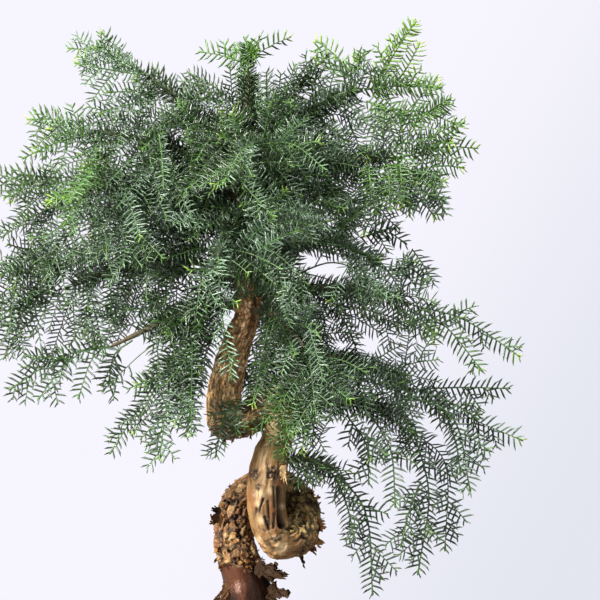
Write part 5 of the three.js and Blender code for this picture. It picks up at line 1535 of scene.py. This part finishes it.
def bark_material():
    m = Shader("bark")
    copper, wood, rough = m.parts(m.field("gloss"))
    scaly, crumbly, dark = m.parts(m.field("scales"))
    fine = m.noise(900.0, 6.0)
    grain = m.noise(1700.0, 4.0, m.drawn_out("grain", 0.12))
    shade = m.times(m.ramp(fine, 0.25, 0.75, 0.6, 1.35), m.ramp(grain, 0.3, 0.7, 0.75, 1.2))
    flecks, fleck_height = m.flakes(m.drawn_out("grain", 0.4), 420.0, 0.1, (0.4, 1.0), (0.85, 1.8))
    crumbs, crumb_height = m.flakes(m.field("grain"), 480.0, 0.08, (0.5, 1.0), (0.75, 1.35))
    for zone, factor in ((scaly, flecks), (crumbly, crumbs)):
        off = m.times(zone, m.math("SUBTRACT", factor, 1.0))
        shade = m.times(shade, m.math("ADD", off, 1.0))
    roughness = m.math("SUBTRACT", m.ramp(fine, 0.3, 0.7, 0.5, 0.7), m.times(copper, 0.27))
    roughness = m.math("ADD", roughness, m.times(dark, 0.2))
    roughness = m.math("SUBTRACT", roughness, m.times(wood, 0.16))
    height = m.math("ADD", m.times(fine, m.ramp(rough, 0.0, 1.0, 0.3, 1.0)),
                    m.times(grain, m.ramp(copper, 0.0, 1.0, 0.7, 0.12)))
    for zone, relief in ((scaly, fleck_height), (crumbly, crumb_height)):
        height = m.math("ADD", height, m.times(zone, relief))
    return m.finished((height, 0.7, 0.001), Base_Color=m.scaled(m.field("colour"), shade),
                      Roughness=roughness, Metallic=m.times(copper, COPPER_SHEEN))


def flake_material():
    m = Shader("loose_bark")
    fine = m.noise(1100.0, 5.0)
    colour = m.scaled(m.field("colour"), m.ramp(fine, 0.25, 0.75, 0.6, 1.3))
    return m.finished((fine, 0.6, 0.0006), Base_Color=colour, Roughness=m.ramp(fine, 0.3, 0.7, 0.6, 0.85),
                      Specular_IOR_Level=0.12)


def stoneware_material():
    m = Shader("stoneware")
    broad, fine = m.noise(18.0, 5.0), m.noise(1400.0, 3.0)
    colour = m.mix(CLAY_DARK, CLAY_LIGHT, m.ramp(broad, 0.35, 0.7))
    colour = m.mix(colour, CLAY_SPECK, m.ramp(fine, 0.66, 0.74, 0.0, 0.7))
    edges = m.node("ShaderNodeNewGeometry").outputs["Pointiness"]
    colour = m.mix(colour, CLAY_WORN, m.ramp(edges, 0.52, 0.58, 0.0, 0.6))
    return m.finished((fine, 0.35, 0.0005), Base_Color=colour, Roughness=m.ramp(broad, 0.3, 0.7, 0.5, 0.68))


def soil_material():
    m = Shader("soil")
    broad, fine = m.noise(60.0, 4.0), m.noise(700.0, 5.0)
    colour = m.mix(SOIL_DARK, SOIL_LIGHT, m.ramp(fine, 0.35, 0.7))
    colour = m.mix(colour, SOIL_WET, m.ramp(broad, 0.5, 0.65, 0.0, 0.7))
    return m.finished((fine, 0.9, 0.0015), Base_Color=colour, Roughness=0.95)


def granule_material():
    m = Shader("granules")
    tone, fine = m.parts(m.field("look"))[0], m.noise(1500.0, 4.0)
    colour = m.mix(GRANULE_CLAY, GRANULE_PUMICE, m.ramp(tone, 0.72, 0.74))
    colour = m.mix(colour, GRANULE_LAVA, m.ramp(tone, 0.86, 0.88))
    colour = m.scaled(colour, m.ramp(fine, 0.3, 0.7, 0.7, 1.25))
    return m.finished((fine, 0.8, 0.0006), Base_Color=colour, Roughness=0.9)


def moss_material():
    m = Shader("moss")
    fine = m.noise(1100.0, 4.0)
    colour = m.mix(MOSS_DARK, MOSS_LIGHT, m.ramp(fine, 0.35, 0.7))
    colour = m.mix(colour, MOSS_DRY, m.ramp(m.noise(90.0, 4.0), 0.5, 0.72, 0.0, 0.65))
    return m.finished((fine, 0.9, 0.0012), Base_Color=colour, Roughness=0.85, Sheen_Weight=0.1)


def netting_material():
    m = Shader("netting")
    fine = m.noise(900.0, 3.0)
    return m.finished((fine, 0.2, 0.0002), Base_Color=m.mix(NETTING_DARK, NETTING_LIGHT, fine),
                      Roughness=m.ramp(fine, 0.3, 0.7, 0.4, 0.6))


# Pot, soil and moss
def rounded_ring(z, half_x, half_y, corner, per_corner, cx=0.0, cy=0.0):
    ring = []
    for sx, sy, start in ((1, 1, 0), (-1, 1, 90), (-1, -1, 180), (1, -1, 270)):
        for k in range(per_corner + 1):
            a = math.radians(start + 90 * k / per_corner)
            ring.append((cx + sx * (half_x - corner) + corner * math.cos(a),
                         cy + sy * (half_y - corner) + corner * math.sin(a), z))
    return np.array(ring)


def softened(rows, count):
    """Rows of a profile with its corners rounded: each corner becomes a short arc of rows."""
    rows = [np.array(r, float) for r in rows]
    result = [rows[0]]
    for a, b, c in zip(rows, rows[1:], rows[2:]):
        near = min(1.0, 1.6 / max(np.linalg.norm((b - a)[:3]), 1e-6), 0.45)
        far = min(1.0, 1.6 / max(np.linalg.norm((c - b)[:3]), 1e-6), 0.45)
        start, end = b + (a - b) * near, b + (c - b) * far
        for k in range(count + 1):
            t = k / count
            result.append(start * (1 - t) ** 2 + 2 * b * t * (1 - t) + end * t ** 2)
    return result + [rows[-1]]


def cut_or_join(obj, tool, operation):
    modifier = obj.modifiers.new("step", "BOOLEAN")
    modifier.object = tool
    modifier.operation = operation
    modifier.solver = "EXACT"
    bpy.context.view_layer.objects.active = obj
    with bpy.context.temp_override(object=obj, active_object=obj, selected_objects=[obj]):
        bpy.ops.object.modifier_apply(modifier=modifier.name)
    bpy.data.objects.remove(tool)


def build_pot(material):
    rings = [rounded_ring(*row, 12) for row in softened(POT_WALL, 3)]
    pot = new_mesh("pot_stoneware", *ring_skin(rings), [material])
    for sx in (-1, 1):
        for sy in (-1, 1):
            rows = softened(FOOT_RINGS, 3)
            feet = [rounded_ring(*row, 6, sx * FOOT_CENTRE[0], sy * FOOT_CENTRE[1]) for row in rows]
            cut_or_join(pot, new_mesh("foot", *ring_skin(feet), []), "UNION")
        circle = [np.array([(sx * DRAIN_X + DRAIN_RADIUS * math.cos(a), DRAIN_RADIUS * math.sin(a), z)
                            for a in np.linspace(0, 2 * math.pi, 48, endpoint=False)]) for z in (0, 24)]
        cut_or_join(pot, new_mesh("drill", *ring_skin(circle), []), "DIFFERENCE")
    for polygon in pot.data.polygons:
        polygon.use_smooth = True
    pot.data.set_sharp_from_angle(angle=math.radians(32))
    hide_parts("pot")


def soil_height(x, y):
    """The mound's top, and its grain."""
    away = [np.abs(v - middle) / reach for v, middle, reach in zip((x, y), MOUND_MIDDLE, MOUND_REACH)]
    reach = np.maximum(*away)
    p = np.stack([x, y, np.zeros_like(x)], axis=-1)
    mound = 70.5 + 8.5 * np.cos(np.clip(reach, 0, 1) * math.pi / 2) ** 1.3
    grain = 1.6 * (layered_noise(p / 9, 91) - 0.5) + 1.5 * (layered_noise(p / 3.4, 93) - 0.5)
    return mound + grain + 2.4 * (layered_noise(p / 38, 92) - 0.5)


def evenly(ring, count):
    """The closed ring walked again in equal steps."""
    closed = np.vstack([ring, ring[:1]])
    reach = np.concatenate([[0], np.cumsum(np.linalg.norm(np.diff(closed, axis=0), axis=1))])
    steps = np.linspace(0, reach[-1], count, endpoint=False)
    return np.stack([np.interp(steps, reach, closed[:, k]) for k in range(3)], axis=1)


def build_soil(material):
    rings = [evenly(rounded_ring(*row, 10), SOIL_ROUND) for row in SOIL_SIDE]
    edge = rings[-1]
    for share in np.linspace(0.985, 0.02, 62):
        ring = edge * [share, share, 1] + np.array([*MOUND_MIDDLE, 0]) * (1 - share)
        ring[:, 2] = soil_height(ring[:, 0], ring[:, 1])
        rings.append(ring)
    soil = new_mesh("soil_bed", *ring_skin(rings), [material])
    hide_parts("soil")


def ball_mesh():
    made = bmesh.new()
    bmesh.ops.create_icosphere(made, subdivisions=1, radius=1)
    v = np.array([p.co[:] for p in made.verts])
    f = np.array([[p.index for p in face.verts] for face in made.faces], np.int32)
    made.free()
    return v, f


def on_soil(rng, count):
    """Random places on the soil, clear of the pot's rim and the trunk's foot."""
    places = []
    while len(places) < count:
        x, y = rng.uniform(-170, 170), rng.uniform(-110, 110)
        if math.hypot(x - 9, y - 5) > 34:
            places.append((x, y))
    return np.array(places)


def build_granules(material):
    rng = np.random.default_rng(21)
    ball, ball_faces = ball_mesh()
    places = on_soil(rng, GRANULES)
    top = soil_height(places[:, 0], places[:, 1])
    grains, looks = [], []
    for (x, y), z in zip(places, top):
        size = rng.choice(GRANULE_RADII) * rng.uniform(0.7, 1.3, 3)
        grain = ball * rng.uniform(0.75, 1.15, (len(ball), 1)) * size
        spin = rng.uniform(0, FULL_TURN)
        c, s = math.cos(spin), math.sin(spin)
        grain = grain @ np.array([[c, s, 0], [-s, c, 0], [0, 0, 1]])
        grains.append((grain + [x, y, z + 0.35 * size[2]], ball_faces))
        looks.append(np.full((len(ball), 3), rng.random()))
    obj = new_mesh("soil_granules", *joined(grains), [material], fields={"look": np.vstack(looks)})
    for polygon in obj.data.polygons:
        polygon.use_smooth = False


def moss_mat(cx, cy, reach):
    """A ragged mat of small cushions: its points by ring and spoke, and its skin."""
    turn = np.arange(MOSS_ROUND) * 2 * math.pi / MOSS_ROUND
    around = np.stack([np.cos(turn), np.sin(turn), np.full(MOSS_ROUND, cx)], axis=1)
    edge = reach * (0.35 + 1.3 * layered_noise(around * 1.6, 95))
    rows = round(reach / 1.3)
    share = np.linspace(0.02, 1, rows)[:, None]
    x, y = cx + share * edge * np.cos(turn), cy + share * edge * np.sin(turn)
    flat = np.stack([x.ravel(), y.ravel(), np.zeros(x.size)], axis=1)
    near, _, number = cells(flat / 6.5 + 0.3 * layered_noise(flat / 4, 96)[:, None], 97)
    cushion = np.sqrt(np.clip(1 - (near / 0.8) ** 2, 0, 1)) * (1.2 + 2.2 * number)
    fade = np.repeat(1 - share[:, 0] ** 5, MOSS_ROUND)
    flat[:, 2] = soil_height(flat[:, 0], flat[:, 1]) + (0.5 + cushion) * fade - 1.2 * (1 - fade)
    mat = flat.reshape(rows, MOSS_ROUND, 3)
    k = np.arange(MOSS_ROUND)
    after = (k + 1) % MOSS_ROUND
    faces = []
    for low in range(0, (rows - 1) * MOSS_ROUND, MOSS_ROUND):
        high = low + MOSS_ROUND
        faces.append(np.stack([low + k, high + k, high + after], axis=1))
        faces.append(np.stack([low + k, high + after, low + after], axis=1))
    faces.append(np.stack([np.full(MOSS_ROUND, rows * MOSS_ROUND), k, after], axis=1))
    return mat, (np.vstack([flat, mat[0].mean(axis=0)]), np.vstack(faces))


def moss_leaves(rng, mat, reach):
    """Short leaves that stand on a mat."""
    count = round(MOSS_LEAVES_PER_MM2 * math.pi * reach ** 2)
    row = (len(mat) - 1.01) * np.sqrt(rng.uniform(0, 0.9, count))
    spoke = rng.integers(0, MOSS_ROUND, count)
    part = (row % 1)[:, None]
    base = mat[row.astype(int), spoke] * (1 - part) + mat[row.astype(int) + 1, spoke] * part
    base[:, :2] += rng.uniform(-0.8, 0.8, (count, 2))
    lean = unit(rng.normal(0, 0.6, (count, 3)) + [0, 0, 1.3])
    tip = base + lean * rng.uniform(1.0, 2.2, (count, 1))
    wide = unit(np.cross(lean, rng.normal(0, 1, (count, 3)))) * 0.3
    deep = unit(np.cross(lean, wide)) * 0.3
    base = base - lean * 0.5
    corners = [base + wide, base - 0.5 * wide + 0.87 * deep, base - 0.5 * wide - 0.87 * deep]
    leaves = np.stack([*corners, tip], axis=1)
    sides = np.array([(0, 1, 3), (1, 2, 3), (2, 0, 3), (0, 2, 1)])
    return leaves.reshape(-1, 3), (np.arange(count)[:, None, None] * 4 + sides).reshape(-1, 3)


def build_moss(material):
    rng = np.random.default_rng(31)
    parts = []
    for cx, cy, reach in MOSS:
        mat, skin = moss_mat(cx, cy, reach)
        parts += [skin, moss_leaves(rng, mat, reach)]
    new_mesh("moss", *joined(parts), [material])


def dress_netting(material):
    for name in ("drain_mesh_left", "drain_mesh_right"):
        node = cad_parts[name]
        node.data.materials.clear()
        node.data.materials.append(material)


# Floor, air, lights and camera
def build_stage():
    """A round floor whose edge fades into the air."""
    vertices = [(0, 0, FLOOR_Z)] + [(FLOOR_REACH * math.cos(a), FLOOR_REACH * math.sin(a), FLOOR_Z)
                                    for a in np.linspace(0, 2 * math.pi, FLOOR_SIDES, endpoint=False)]
    mesh = bpy.data.meshes.new("floor")
    mesh.from_pydata(vertices, [], [(0, k + 1, (k + 1) % FLOOR_SIDES + 1) for k in range(FLOOR_SIDES)])
    floor = placed("floor", mesh)
    m = Shader("pale_floor")
    place = m.node("ShaderNodeTexCoord").outputs["Object"]
    radius = m.node("ShaderNodeVectorMath", {0: place}, operation="LENGTH").outputs["Value"]
    m.plug(m.main.inputs["Base Color"], FLOOR)
    m.plug(m.main.inputs["Roughness"], 0.8)
    clear = m.node("ShaderNodeBsdfTransparent").outputs[0]
    blend = m.node("ShaderNodeMixShader", {0: m.ramp(radius, 0.5, 1.35), 1: m.main.outputs[0], 2: clear})
    m.plug(m.tree.nodes["Material Output"].inputs[0], blend.outputs[0])
    floor.data.materials.append(m.material)


def build_air():
    """A pale surround: what is seen of it runs from lavender white to a cooler grey at the right."""
    world = bpy.data.worlds.new("air")
    bpy.context.scene.world = world
    world.use_nodes = True
    world.node_tree.nodes.clear()
    air = Nodes(world.node_tree)
    x, _, z = air.parts(air.node("ShaderNodeTexCoord").outputs["Generated"])
    across = air.node("ShaderNodeMath", {0: z, 1: -0.55, 2: x}, operation="MULTIPLY_ADD").outputs[0]
    ramp = air.node("ShaderNodeValToRGB", {0: air.math("ADD", across, 0.5)})
    ramp.color_ramp.interpolation = "EASE"
    for stop, position, colour in zip(ramp.color_ramp.elements, AIR_STOPS, (AIR_LEFT, AIR_RIGHT)):
        stop.position = position
        stop.color = (*colour, 1)
    seen = air.node("ShaderNodeBackground", {0: ramp.outputs[0]}).outputs[0]
    lit = air.node("ShaderNodeBackground", {0: AIR_LIGHT, 1: AIR_STRENGTH}).outputs[0]
    ray = air.node("ShaderNodeLightPath").outputs["Is Camera Ray"]
    blend = air.node("ShaderNodeMixShader", {0: ray, 1: lit, 2: seen}).outputs[0]
    air.node("ShaderNodeOutputWorld", {0: blend})


def aimed(obj, target):
    heading = Vector(target) - obj.location
    obj.rotation_euler = heading.to_track_quat("-Z", "Y").to_euler()


def build_lights():
    for name, place, size, power, colour in LIGHTS:
        data = bpy.data.lights.new(name, "AREA")
        data.shape = "SQUARE"
        data.size = size
        data.energy = power
        data.color = colour
        light = placed(name, data)
        light.location = place
        aimed(light, (0, 0, LIGHT_AIM_Z))


def build_camera():
    data = bpy.data.cameras.new("view")
    data.sensor_width = SENSOR_WIDTH
    data.lens = SENSOR_WIDTH * VIEW_DISTANCE / VIEW_WIDTH
    data.clip_end = 50
    camera = placed("view", data)
    place = np.array([VIEW_X, -VIEW_DISTANCE, VIEW_Z]) * MM + ORIGIN
    camera.location = place
    aimed(camera, place + np.array([0, 1, 0]))
    bpy.context.scene.camera = camera


def main():
    bpy.context.scene.view_settings.view_transform = "Standard"
    bark = bark_material()
    points, normals, fields = build_wood(bark)
    build_flakes(flake_material(), points, normals, fields)
    build_foliage([needle_material(), shoot_material()])
    build_pot(stoneware_material())
    build_soil(soil_material())
    build_granules(granule_material())
    build_moss(moss_material())
    dress_netting(netting_material())
    build_stage()
    build_air()
    build_lights()
    build_camera()


main()
